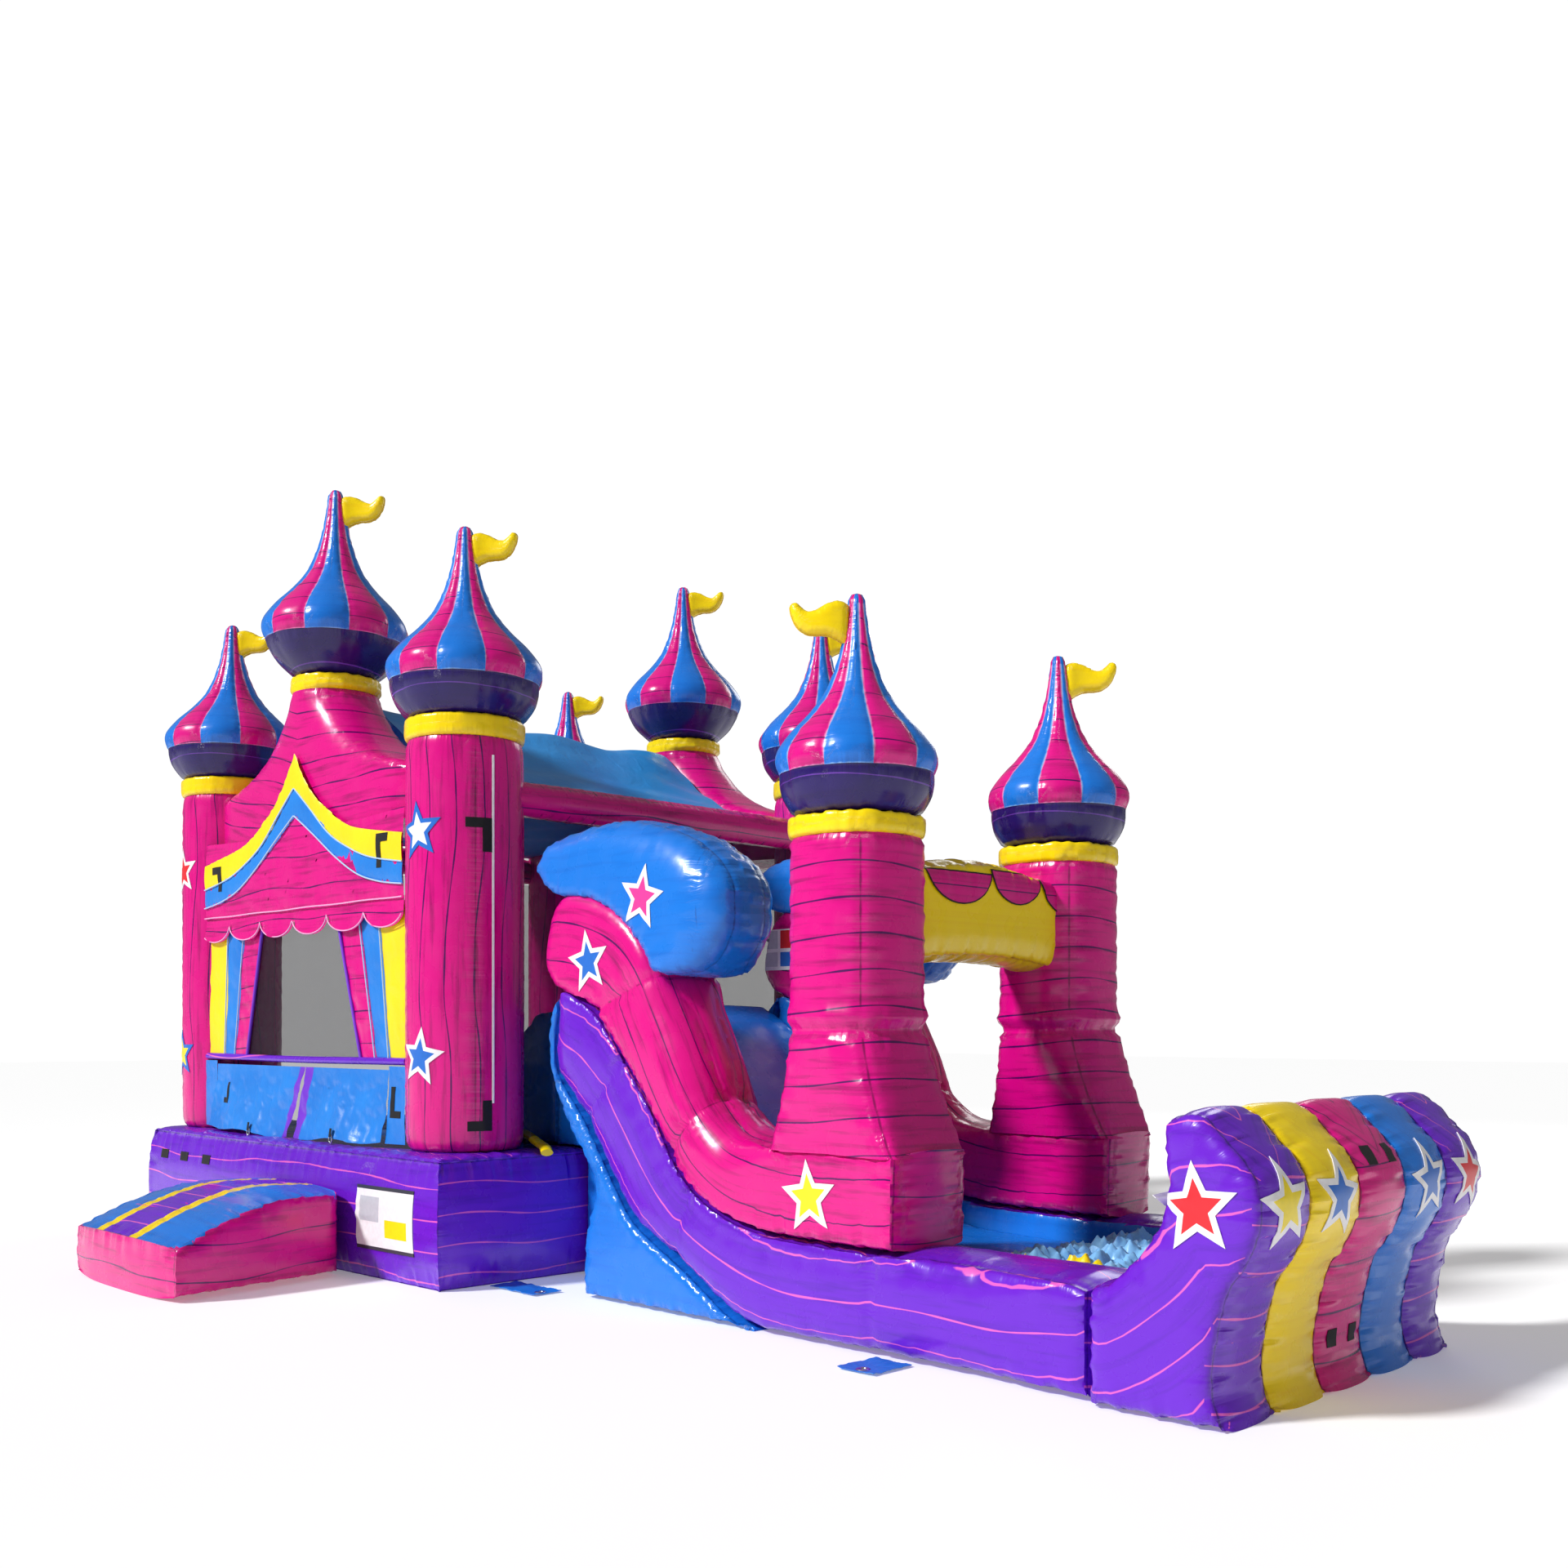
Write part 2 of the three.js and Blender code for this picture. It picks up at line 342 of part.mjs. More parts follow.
// --------------------------------------------------------------- anchor tabs
function tab(name, x0, x1, y0, y1, hx, hy) {
  piece(name, cut(box(x0, x1, y0, y1, 0, 12), post(22, -5, 20, hx, hy, 16)), BLUE, 0.5);
}
tab('anchor_tab_slide_top', BASE_X1 + GAP, 2390, -1650, -1490, 2335, -1570);
tab('anchor_tab_slide_foot', 4660, 4860, -1745, NEAR_Y0 - GAP, 4760, -1695);
tab('anchor_tab_left', -2090, BASE_X0 - GAP, -600, -400, -2040, -500);
tab('anchor_tab_back', 900, 1100, BASE_Y1 + GAP, 2130, 1000, 2080);

// -------------------------------------------------------------------- blower
const X0 = BLOW_X - SCROLL_W / 2, X1 = BLOW_X + SCROLL_W / 2, DUCT_Y0 = 2470;
const scroll = join(barX(SCROLL_R, X0, X1, BLOW_Y, BLOW_Z, 32), barY(DUCT_R, DUCT_Y0, BLOW_Y - 120, BLOW_X, BLOW_Z),
  box(X0 + 20, X0 + 60, BLOW_Y - 240, BLOW_Y + 240, 0, 200), box(X1 - 60, X1 - 20, BLOW_Y - 240, BLOW_Y + 240, 0, 200));
piece('blower_housing', cut(scroll, barX(SCROLL_R - 30, X0 + 12, X1 - 12, BLOW_Y, BLOW_Z, 32),
  barY(DUCT_R - 14, DUCT_Y0 - 10, BLOW_Y - 120, BLOW_X, BLOW_Z), barX(140, X1 - 30, X1 + 10, BLOW_Y, BLOW_Z),
  barX(14, X0 - 10, X0 + 30, BLOW_Y, BLOW_Z, 16)), ORANGE, 0.45);
const blades = [];
for (let i = 0; i < 8; i++) {
  const b = box(X0 + 40, X0 + 170, BLOW_Y + 120, BLOW_Y + 196, BLOW_Z - 4, BLOW_Z + 4);
  b.translate(0, -BLOW_Y, -BLOW_Z).rotateX(i * Math.PI / 4).translate(0, BLOW_Y, BLOW_Z);
  blades.push(b);
}
piece('blower_impeller', join(barX(200, X0 + 30, X0 + 44, BLOW_Y, BLOW_Z), barX(36, X0 + 30, X0 + 90, BLOW_Y, BLOW_Z, 16),
  barX(9, X0 - 60, X0 + 40, BLOW_Y, BLOW_Z, 16), ...blades), DARK, 0.5);
piece('blower_motor', cut(join(barX(112, X0 - 12, X0 - GAP, BLOW_Y, BLOW_Z), barX(92, X0 - 170, X0 - 10, BLOW_Y, BLOW_Z),
  box(X0 - 140, X0 - 60, BLOW_Y - 45, BLOW_Y + 45, BLOW_Z + 60, BLOW_Z + 130)), barX(13, X0 - 80, X0 + 10, BLOW_Y, BLOW_Z, 16)), STEEL, 0.35, 0.6);
const bars = [-90, -45, 0, 45, 90].map((d) => box(X1 + GAP, X1 + 10, BLOW_Y - 156, BLOW_Y + 156, BLOW_Z + d - 5, BLOW_Z + d + 5));
piece('blower_grille', join(cut(barX(166, X1 + GAP, X1 + 12, BLOW_Y, BLOW_Z, 32), barX(142, X1 - 5, X1 + 20, BLOW_Y, BLOW_Z, 32)),
  ...bars.map((b) => overlap(b, barX(150, X1, X1 + 20, BLOW_Y, BLOW_Z, 32)))), DARK, 0.5);
piece('inflation_sleeve', cut(barY(DUCT_R + 8, BASE_Y1 + GAP, 2560, BLOW_X, BLOW_Z), barY(DUCT_R + GAP, BASE_Y1 - 10, 2600, BLOW_X, BLOW_Z)), BLUE, 0.6);

// ---------------------------------------------- origin: middle of the footprint
const bounds = new THREE.Box3();
for (const mesh of group.children) {
  mesh.geometry.computeBoundingBox();
  bounds.union(mesh.geometry.boundingBox);
}
const middle = bounds.getCenter(new THREE.Vector3());
for (const mesh of group.children) mesh.geometry.translate(-middle.x, -middle.y, -bounds.min.z);

export default group;
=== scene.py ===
import bpy, bmesh, math
import numpy as np
from mathutils import Matrix, Vector
from mathutils.bvhtree import BVHTree
from mathutils.kdtree import KDTree


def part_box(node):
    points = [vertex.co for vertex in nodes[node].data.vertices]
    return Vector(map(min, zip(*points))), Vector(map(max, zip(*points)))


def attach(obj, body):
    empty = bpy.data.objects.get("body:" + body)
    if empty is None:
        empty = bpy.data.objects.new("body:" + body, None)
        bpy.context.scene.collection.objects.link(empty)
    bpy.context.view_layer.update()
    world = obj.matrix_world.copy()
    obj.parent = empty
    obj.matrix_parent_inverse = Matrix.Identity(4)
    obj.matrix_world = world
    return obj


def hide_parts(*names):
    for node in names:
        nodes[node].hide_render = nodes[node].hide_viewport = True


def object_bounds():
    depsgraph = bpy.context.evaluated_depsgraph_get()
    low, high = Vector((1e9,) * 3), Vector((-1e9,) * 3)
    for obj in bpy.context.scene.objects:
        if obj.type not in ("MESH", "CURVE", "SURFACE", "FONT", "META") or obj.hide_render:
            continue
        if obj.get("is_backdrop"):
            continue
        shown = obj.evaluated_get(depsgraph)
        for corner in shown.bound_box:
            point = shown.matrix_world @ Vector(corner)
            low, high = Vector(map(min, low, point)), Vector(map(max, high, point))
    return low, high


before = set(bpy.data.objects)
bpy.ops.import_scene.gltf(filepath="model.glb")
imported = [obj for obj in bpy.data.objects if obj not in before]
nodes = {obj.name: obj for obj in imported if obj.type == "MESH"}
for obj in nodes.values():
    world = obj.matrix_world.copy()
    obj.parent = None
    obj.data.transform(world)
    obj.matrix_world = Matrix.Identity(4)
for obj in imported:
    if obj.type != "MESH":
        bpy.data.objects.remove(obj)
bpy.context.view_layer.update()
scene = bpy.context.scene


# ------------------------------------------------------------ where things are
def box(node):
    low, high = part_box(node)
    return np.array(low), np.array(high)


def middle(node):
    low, high = box(node)
    return (low + high) / 2


CORNERS = ["front_left", "front_right", "back_left", "back_right"]
HOUSE = np.mean([middle("turret_" + c) for c in CORNERS], axis=0) * (1, 1, 0)
# every piece is drawn about the house's own centre, on the ground, and moved by HOUSE when it is finished

INFLATABLE = "inflatable"
hosts = {}  # finished pieces that badges are laid on


# -------------------------------------------------------------------- colours
def linear(hexcode):
    rgb = [int(hexcode[i : i + 2], 16) / 255 for i in (1, 3, 5)]
    return tuple(c / 12.92 if c <= 0.04045 else ((c + 0.055) / 1.055) ** 2.4 for c in rgb) + (1.0,)


PINK, PINK_DEEP, PINK_SEAM = "#DE0484", "#8C0458", "#5C0440"
PURPLE, PURPLE_DEEP, PURPLE_SEAM = "#6A1CC8", "#42109A", "#2C0A70"
BLUE, BLUE_DEEP, BLUE_SEAM = "#1678DC", "#0A58BC", "#0A4694"
YELLOW, YELLOW_DEEP, YELLOW_SEAM = "#FFDE00", "#F2BE00", "#C89200"
NIGHT, NIGHT_DEEP, NIGHT_SEAM = "#240E62", "#160648", "#0E042E"
ROSE, VIOLET_LINE = "#E060C0", "#4C0458"


# ------------------------------------------------------------------ materials
def add(tree, kind, inputs=None, **settings):
    """A shader node with its settings and its inputs, which are values or sockets."""
    node = tree.nodes.new("ShaderNode" + kind)
    for key, value in settings.items():
        setattr(node, key, value)
    for key, value in (inputs or {}).items():
        if isinstance(value, bpy.types.NodeSocket):
            tree.links.new(value, node.inputs[key])
        else:
            node.inputs[key].default_value = value
    return node


def start_material(name, color="#808080", roughness=0.4, **values):
    material = bpy.data.materials.new(name)
    material.use_nodes = True
    tree = material.node_tree
    shader = tree.nodes["Principled BSDF"]
    shader.inputs["Base Color"].default_value = linear(color)
    shader.inputs["Roughness"].default_value = roughness
    for key, value in values.items():
        shader.inputs[key.replace("_", " ")].default_value = value
    material.diffuse_color = linear(color)
    return material, tree, shader


def vinyl(name, color, deep, seam, line=None, spacing=0.16, width=0.006, wobble=0.03, streaks=0.6, roughness=0.27, pucker=1.0):
    """PVC-coated polyester, calendered smooth and heat-sealed: a strong clean colour under a soft wet-looking gloss,
    printed with long brush streaks and, where line is given, with thin wavering lines along the UV map's first axis.
    The film draws into short folds where a seam holds it, read from the seam attributes in metres."""
    material, tree, shader = start_material(
        name, color, roughness, Specular_IOR_Level=0.4, Coat_Weight=0.22, Coat_Roughness=0.12, IOR=1.5
    )
    uv = add(tree, "UVMap", uv_map="film").outputs["UV"]
    flat = add(tree, "SeparateXYZ", {"Vector": uv})
    along, across = flat.outputs["X"], flat.outputs["Y"]
    # brush streaks, 12 to 60 mm wide and many times as long
    stretched = add(tree, "Mapping", {"Vector": uv, "Scale": (1.3, 17.0, 1.0)}).outputs["Vector"]
    brushed = add(tree, "TexNoise", {"Vector": stretched, "Scale": 1.6, "Detail": 5.0, "Roughness": 0.62})
    tone = add(tree, "MapRange", {"Value": brushed.outputs["Fac"], "From Min": 0.5, "From Max": 0.74,
        "To Max": streaks}, clamp=True)
    paint = add(tree, "Mix", {"Factor": tone.outputs["Result"], 6: linear(color), 7: linear(deep)}, data_type="RGBA").outputs[2]
    if line:
        slow = add(tree, "Mapping", {"Vector": uv, "Scale": (1.0, 0.35, 1.0)}).outputs["Vector"]
        sway = add(tree, "TexNoise", {"Vector": slow, "Scale": 0.9, "Detail": 1.0}).outputs["Fac"]
        swayed = add(tree, "Math", {0: sway, 1: wobble * 6, 2: across}, operation="MULTIPLY_ADD").outputs[0]
        saw = add(tree, "Math", {0: swayed, 1: spacing / 2}, operation="PINGPONG").outputs[0]
        nib = add(tree, "TexNoise", {"Vector": uv, "Scale": 5.0, "Detail": 1.0}).outputs["Fac"]
        reach = add(tree, "MapRange", {"Value": nib, "From Min": 0.3, "From Max": 0.7, "To Min": width * 0.35,
            "To Max": width}).outputs["Result"]
        over = add(tree, "Math", {0: reach, 1: saw}, operation="SUBTRACT").outputs[0]
        inked = add(tree, "MapRange", {"Value": over, "From Min": -0.0012, "From Max": 0.0012}, clamp=True).outputs["Result"]
        paint = add(tree, "Mix", {"Factor": inked, 6: paint, 7: linear(line)}, data_type="RGBA").outputs[2]
    away = add(tree, "Attribute", attribute_name="seam_away").outputs["Fac"]
    run = add(tree, "Attribute", attribute_name="seam_run").outputs["Fac"]
    # the sealed edge shows as a darker line 6 mm wide
    welt = add(tree, "MapRange", {"Value": away, "From Min": 0.009, "From Max": 0.003, "To Max": 0.75},
        clamp=True).outputs["Result"]
    paint = add(tree, "Mix", {"Factor": welt, 6: paint, 7: linear(seam)}, data_type="RGBA").outputs[2]
    tree.links.new(paint, shader.inputs["Base Color"])
    # folds 25 to 70 mm apart that die out within about 90 mm of the seam
    place = add(tree, "CombineXYZ", {"X": run, "Y": 0.0, "Z": 0.0}).outputs["Vector"]
    folds = add(tree, "TexNoise", {"Vector": place, "Scale": 26.0, "Detail": 2.0, "Roughness": 0.6}).outputs["Fac"]
    fade = add(tree, "MapRange", {"Value": away, "From Min": 0.0, "From Max": 0.09, "To Min": 1.0, "To Max": 0.0},
        interpolation_type="SMOOTHERSTEP").outputs["Result"]
    creased = add(tree, "Math", {0: folds, 1: fade}, operation="MULTIPLY").outputs[0]
    object_at = add(tree, "TexCoord").outputs["Object"]
    slack = add(tree, "TexNoise", {"Vector": object_at, "Scale": 7.0, "Detail": 3.0, "Roughness": 0.5}).outputs["Fac"]
    first = add(tree, "Bump", {"Strength": 0.4 * pucker, "Distance": 0.02, "Height": creased})
    second = add(tree, "Bump", {"Strength": 0.14, "Distance": 0.012, "Height": slack, "Normal": first.outputs["Normal"]})
    tree.links.new(second.outputs["Normal"], shader.inputs["Normal"])
    dull = add(tree, "MapRange", {"Value": slack, "From Min": 0.3, "From Max": 0.7, "To Min": roughness - 0.07,
        "To Max": roughness + 0.09}).outputs["Result"]
    tree.links.new(dull, shader.inputs["Roughness"])
    return material


def printed(name, color, roughness=0.35):
    """Screen ink or a hot-sealed patch of the same film: an even colour with a slight mottle."""
    material, tree, shader = start_material(name, color, roughness, Coat_Weight=0.2, Coat_Roughness=0.2)
    object_at = add(tree, "TexCoord").outputs["Object"]
    mottle = add(tree, "TexNoise", {"Vector": object_at, "Scale": 40.0, "Detail": 3.0}).outputs["Fac"]
    tone = add(tree, "MapRange", {"Value": mottle, "From Min": 0.3, "From Max": 0.8, "To Max": 0.12}).outputs["Result"]
    mixed = add(tree, "Mix", {"Factor": tone, 6: linear(color), 7: (0.02, 0.02, 0.03, 1.0)}, data_type="RGBA").outputs[2]
    tree.links.new(mixed, shader.inputs["Base Color"])
    return material


def cloth_film(name, color, deep, roughness=0.42):
    """Uninflated coated sheet: the same film lying loose, so less gloss and a fine woven base showing through.
    The real thread is 0.5 mm, too fine to show, so it is drawn 4 mm coarse."""
    material, tree, shader = start_material(name, color, roughness, Coat_Weight=0.12, Coat_Roughness=0.3)
    object_at = add(tree, "TexCoord").outputs["Object"]
    broad = add(tree, "TexNoise", {"Vector": object_at, "Scale": 2.2, "Detail": 4.0}).outputs["Fac"]
    tone = add(tree, "MapRange", {"Value": broad, "From Min": 0.4, "From Max": 0.75, "To Max": 0.6}).outputs["Result"]
    mixed = add(tree, "Mix", {"Factor": tone, 6: linear(color), 7: linear(deep)}, data_type="RGBA").outputs[2]
    tree.links.new(mixed, shader.inputs["Base Color"])
    warp = add(tree, "TexWave", {"Vector": object_at, "Scale": 78.0, "Distortion": 0.4}, bands_direction="X").outputs["Fac"]
    weft = add(tree, "TexWave", {"Vector": object_at, "Scale": 78.0, "Distortion": 0.4}, bands_direction="Z").outputs["Fac"]
    thread = add(tree, "Math", {0: warp, 1: weft}, operation="ADD").outputs[0]
    rumple = add(tree, "TexNoise", {"Vector": object_at, "Scale": 9.0, "Detail": 4.0, "Distortion": 0.6}).outputs["Fac"]
    first = add(tree, "Bump", {"Strength": 0.08, "Distance": 0.002, "Height": thread})
    second = add(tree, "Bump", {"Strength": 0.4, "Distance": 0.02, "Height": rumple, "Normal": first.outputs["Normal"]})
    tree.links.new(second.outputs["Normal"], shader.inputs["Normal"])
    return material


def netting(name):
    """Knotless polyester safety net, black, about 60% closed: drawn as an even see-through dark cloth,
    with its 12 mm mesh shown as 24 mm so that it reads at this size."""
    material, tree, shader = start_material(name, "#0B0B10", 0.85, Alpha=0.3)
    object_at = add(tree, "TexCoord").outputs["Object"]
    rows = add(tree, "TexWave", {"Vector": object_at, "Scale": 13.0}, bands_direction="DIAGONAL").outputs["Fac"]
    tone = add(tree, "Mix", {"Factor": rows, 6: linear("#08080C"), 7: linear("#1C1C26")}, data_type="RGBA").outputs[2]
    tree.links.new(tone, shader.inputs["Base Color"])
    return material


def moulded(name, color, roughness=0.5, metallic=0.0):
    """Injection-moulded polypropylene or painted steel: a fine spark-eroded grain and slightly uneven sheen."""
    material, tree, shader = start_material(name, color, roughness, Metallic=metallic)
    object_at = add(tree, "TexCoord").outputs["Object"]
    grain = add(tree, "TexNoise", {"Vector": object_at, "Scale": 420.0, "Detail": 2.0}).outputs["Fac"]
    wear = add(tree, "TexNoise", {"Vector": object_at, "Scale": 9.0, "Detail": 5.0}).outputs["Fac"]
    dull = add(tree, "MapRange", {"Value": wear, "From Min": 0.3, "From Max": 0.7, "To Min": roughness - 0.1,
        "To Max": roughness + 0.12}).outputs["Result"]
    tree.links.new(dull, shader.inputs["Roughness"])
    bump = add(tree, "Bump", {"Strength": 0.15, "Distance": 0.001, "Height": grain})
    tree.links.new(bump.outputs["Normal"], shader.inputs["Normal"])
    return material


film_pink = vinyl("vinyl_pink_lined", PINK, PINK_DEEP, PINK_SEAM, VIOLET_LINE, 0.16, 0.0055, 0.035, streaks=0.9)
film_pink_plain = vinyl("vinyl_pink_streaked", PINK, PINK_DEEP, PINK_SEAM, VIOLET_LINE, 0.2, 0.005, 0.03, streaks=0.9)
film_purple = vinyl("vinyl_purple_lined", PURPLE, PURPLE_DEEP, PURPLE_SEAM, ROSE, 0.17, 0.0055, 0.035)
film_night = vinyl("vinyl_night_purple", NIGHT, NIGHT_DEEP, NIGHT_SEAM, "#6A3AA8", 0.2, 0.004, 0.03)
film_blue = vinyl("vinyl_blue", BLUE, BLUE_DEEP, BLUE_SEAM, streaks=0.4)
film_yellow = vinyl("vinyl_yellow", YELLOW, YELLOW_DEEP, YELLOW_SEAM, streaks=0.4)
film_blue_gore = vinyl("vinyl_blue_gore", BLUE, BLUE_DEEP, "#9CC4F0", streaks=0.35)
film_pink_gore = vinyl("vinyl_pink_gore", PINK, PINK_DEEP, "#F49AD0", VIOLET_LINE, 0.12, 0.004, 0.03)
sheet_blue_roof = cloth_film("roof_sheet_blue", "#2E9AE8", "#1F80D0")
sheet_yellow = cloth_film("sheet_yellow", "#FFE100", "#F2C800")
sheet_purple = cloth_film("sheet_purple", "#7A2CD4", "#5A1CB0")
sheet_band_blue = cloth_film("sheet_band_blue", "#1A84E0", "#0E62C0", 0.36)
sheet_liner_blue = cloth_film("sheet_liner_pale_blue", "#8CC6F2", "#4A9AE0", 0.4)
ink_white = printed("ink_white", "#F6F4F6")
ink_red = printed("ink_red", "#E81E2A")
ink_yellow = printed("ink_yellow", "#FFE400")
ink_blue = printed("ink_blue", "#1C6ED0")
ink_pink = printed("ink_pink", "#F03C9C")
ink_pale_pink = printed("piping_pale_pink", "#F4A8D8")
ink_pale_blue = printed("piping_pale_blue", "#B4D4F4")
ink_slate = printed("ink_slate", "#3A3C46")
ink_grey = printed("ink_grey", "#C6CAD2")
bright_steel = moulded("zinc_plated_steel", "#B8BCC2", 0.3, 1.0)
blower_yellow = moulded("rotomoulded_polyethylene_yellow", "#F0B400", 0.5)
dark_plastic = moulded("abs_black", "#16171A", 0.45)
motor_paint = moulded("painted_steel_grey", "#5C6268", 0.42, 0.6)
PIPE_AT = math.radians(-6)  # where the pale piping runs down the front right tower
loop_black = printed("hook_and_loop_black", "#0C0C10", 0.9)
net_black = netting("safety_net_black")


# --------------------------------------------------------------- outline tools
def curved(points, spacing=0.04, closed=True, keep=()):
    """Points along a smooth curve through the given ones. keep lists the indices of points that stay sharp corners."""
    pts = np.array(points, float)
    n = len(pts)
    out = []
    last = n if closed else n - 1
    for i in range(last):
        p1, p2 = pts[i], pts[(i + 1) % n]
        p0 = p1 if i in keep or (not closed and i == 0) else pts[i - 1]
        p3 = p2 if (i + 1) % n in keep or (not closed and i == n - 2) else pts[(i + 2) % n]
        length = np.linalg.norm(p2 - p1)
        a = (p2 - p0) / 2 * min(1.0, 2 * length / (np.linalg.norm(p2 - p0) + 1e-9))
        b = (p3 - p1) / 2 * min(1.0, 2 * length / (np.linalg.norm(p3 - p1) + 1e-9))
        if p0 is p1 and p3 is p2:
            a = b = p2 - p1
        steps = max(1, int(round(length / spacing)))
        for j in range(steps):
            t = j / steps
            out.append((2 * t**3 - 3 * t**2 + 1) * p1 + (t**3 - 2 * t**2 + t) * a + (3 * t**2 - 2 * t**3) * p2 + (t**3 - t**2) * b)
    if not closed:
        out.append(pts[-1])
    return np.array(out)


def widdershins(loop):
    x, y = loop[:, 0], loop[:, 1]
    return loop if np.sum(x * np.roll(y, -1) - np.roll(x, -1) * y) > 0 else loop[::-1]


class Line:
    """A polyline in a plane: how far points are from it, where along it, and its outward normal there."""

    def __init__(self, points, closed=True):
        self.a = np.array(points, float)
        self.b = np.roll(self.a, -1, axis=0) if closed else self.a[1:]
        if not closed:
            self.a = self.a[:-1]
        self.closed = closed
        step = self.b - self.a
        self.length = np.linalg.norm(step, axis=1) + 1e-12
        self.run = np.concatenate([[0], np.cumsum(self.length)[:-1]])
        normal = np.stack([step[:, 1], -step[:, 0]], axis=1) / self.length[:, None]
        before = np.roll(normal, 1, axis=0)
        after = np.roll(normal, -1, axis=0)
        if not closed:
            before[0], after[-1] = normal[0], normal[-1]
        self.n0, self.n1 = before + normal, normal + after

    def near(self, points):
        away, run, normal, side = [], [], [], []
        for part in np.array_split(points, max(1, len(points) // 4000)):
            d = self.b - self.a
            rel = part[:, None, :] - self.a[None]
            t = np.clip(np.einsum("ijk,jk->ij", rel, d) / self.length**2, 0, 1)
            gap = rel - t[..., None] * d[None]
            dist = np.linalg.norm(gap, axis=2)
            i = np.argmin(dist, axis=1)
            k = np.arange(len(part))
            u = t[k, i]
            n = self.n0[i] * (1 - u)[:, None] + self.n1[i] * u[:, None]
            n /= np.linalg.norm(n, axis=1)[:, None] + 1e-12
            away.append(dist[k, i])
            run.append(self.run[i] + u * self.length[i])
            normal.append(n)
            side.append(np.sign(np.einsum("ij,ij->i", gap[k, i], n)))
        return np.concatenate(away), np.concatenate(run), np.concatenate(normal), np.concatenate(side)


# ------------------------------------------------------------------ mesh tools
def coords(bm):
    return np.array([v.co[:] for v in bm.verts])


def place(bm, points):
    for v, p in zip(bm.verts, points):
        v.co = p


def outward(bm):
    bmesh.ops.recalc_face_normals(bm, faces=bm.faces[:])
    if bm.calc_volume(signed=True) < 0:
        bmesh.ops.reverse_faces(bm, faces=bm.faces[:])


TURN = {  # outline axes and thickness axis, as (a, b, h) to (x, y, z)
    "xz": lambda p: np.stack([p[:, 0], p[:, 2], p[:, 1]], axis=1),
    "yz": lambda p: np.stack([p[:, 2], p[:, 0], p[:, 1]], axis=1),
    "xy": lambda p: p,
}


def ripple(s, seed=0.0, wave=0.09):
    """An uneven row of folds along a seam, from -1 to 1."""
    total = 0
    for i, (size, amount) in enumerate([(1.0, 0.5), (0.62, 0.35), (1.73, 0.45)]):
        total = total + amount * np.sin(2 * np.pi * s / (wave * size) + seed * (i + 1) + 1.3 * np.sin(s * 2.1 / size + seed))
    return total / 1.1


def draw_in(bm, seams, depth=0.006, reach=0.08, seed=0.0, wave=0.09, groove=0.004):
    """Marks how far every point is from the nearest seam and where along it, and folds the film there.
    seams are lists of points in space."""
    cloud, runs = [], []
    for line in seams:
        line = np.array(line)
        step = np.linalg.norm(np.diff(line, axis=0), axis=1)
        total = np.concatenate([[0], np.cumsum(step)])
        count = max(2, int(total[-1] / 0.012))
        at = np.linspace(0, total[-1], count)
        cloud.append(np.stack([np.interp(at, total, line[:, k]) for k in range(3)], axis=1))
        runs.append(at + 7.3 * len(runs))
    cloud, runs = np.concatenate(cloud), np.concatenate(runs)
    tree = KDTree(len(cloud))
    for i, p in enumerate(cloud):
        tree.insert(p, i)
    tree.balance()
    bm.normal_update()
    away_layer = bm.verts.layers.float.get("seam_away") or bm.verts.layers.float.new("seam_away")
    run_layer = bm.verts.layers.float.get("seam_run") or bm.verts.layers.float.new("seam_run")
    found = [tree.find(v.co) for v in bm.verts]
    away = np.array([f[2] for f in found])
    run = runs[np.array([f[1] for f in found])]
    lift = depth * ripple(run, seed, wave) * np.clip(1 - (away / (1.6 * reach)) ** 2, 0, 1) ** 2 * np.clip(away / 0.02, 0.25, 1)
    lift = lift - groove * np.exp(-((away / 0.022) ** 2))
    for v, d, s, h in zip(bm.verts, away, run, lift):
        v[away_layer] = d
        v[run_layer] = s
        v.co += v.normal * float(h)
    return bm


def flat_film(a=0, b=2):
    """Film laid flat on one plane."""
    return lambda p, at, normal, centre: np.stack([p[at, a], p[at, b]], axis=1)


def wall_film(upright=False):
    """Film laid flat on whichever side a face is on: along the ground first, then up."""

    def rule(p, at, normal, centre):
        q = p[at]
        size = np.abs(normal)
        level = size[:, 2] > 0.75
        front = size[:, 1] >= size[:, 0]
        u = np.where(level | front, q[:, 0], q[:, 1])
        v = np.where(level, q[:, 1], q[:, 2])
        return np.stack([v, u] if upright else [u, v], axis=1)

    return rule


def round_film(x0, y0, radius, upright=False):
    """Film wrapped round an upright axis."""

    def rule(p, at, normal, centre):
        q = p[at]
        base = np.arctan2(centre[:, 1] - y0, centre[:, 0] - x0)
        a = np.arctan2(q[:, 1] - y0, q[:, 0] - x0)
        a = base + (a - base + np.pi) % (2 * np.pi) - np.pi
        a = np.where(np.hypot(q[:, 0] - x0, q[:, 1] - y0) < 1e-4, base, a)
        return np.stack([q[:, 2], a * radius] if upright else [a * radius, q[:, 2]], axis=1)

    return rule


def guide_film(points, h0, h1):
    """Film whose lines follow a guide curve in the XZ plane and go on over the rounded edges."""
    line = Line(curved(points, 0.05, closed=False), closed=False)

    def rule(p, at, normal, centre):
        away, run, _, side = line.near(p[:, (0, 2)])
        uv = np.stack([run[at], (side * (away + np.clip(np.minimum(p[:, 1] - h0, h1 - p[:, 1]), 0, None)))[at]], axis=1)
        end = (np.abs(normal[:, 0]) > 0.72) & (centre[:, 2] < 0.9)
        return np.where(end[:, None], p[at][:, (1, 2)], uv)

    return rule


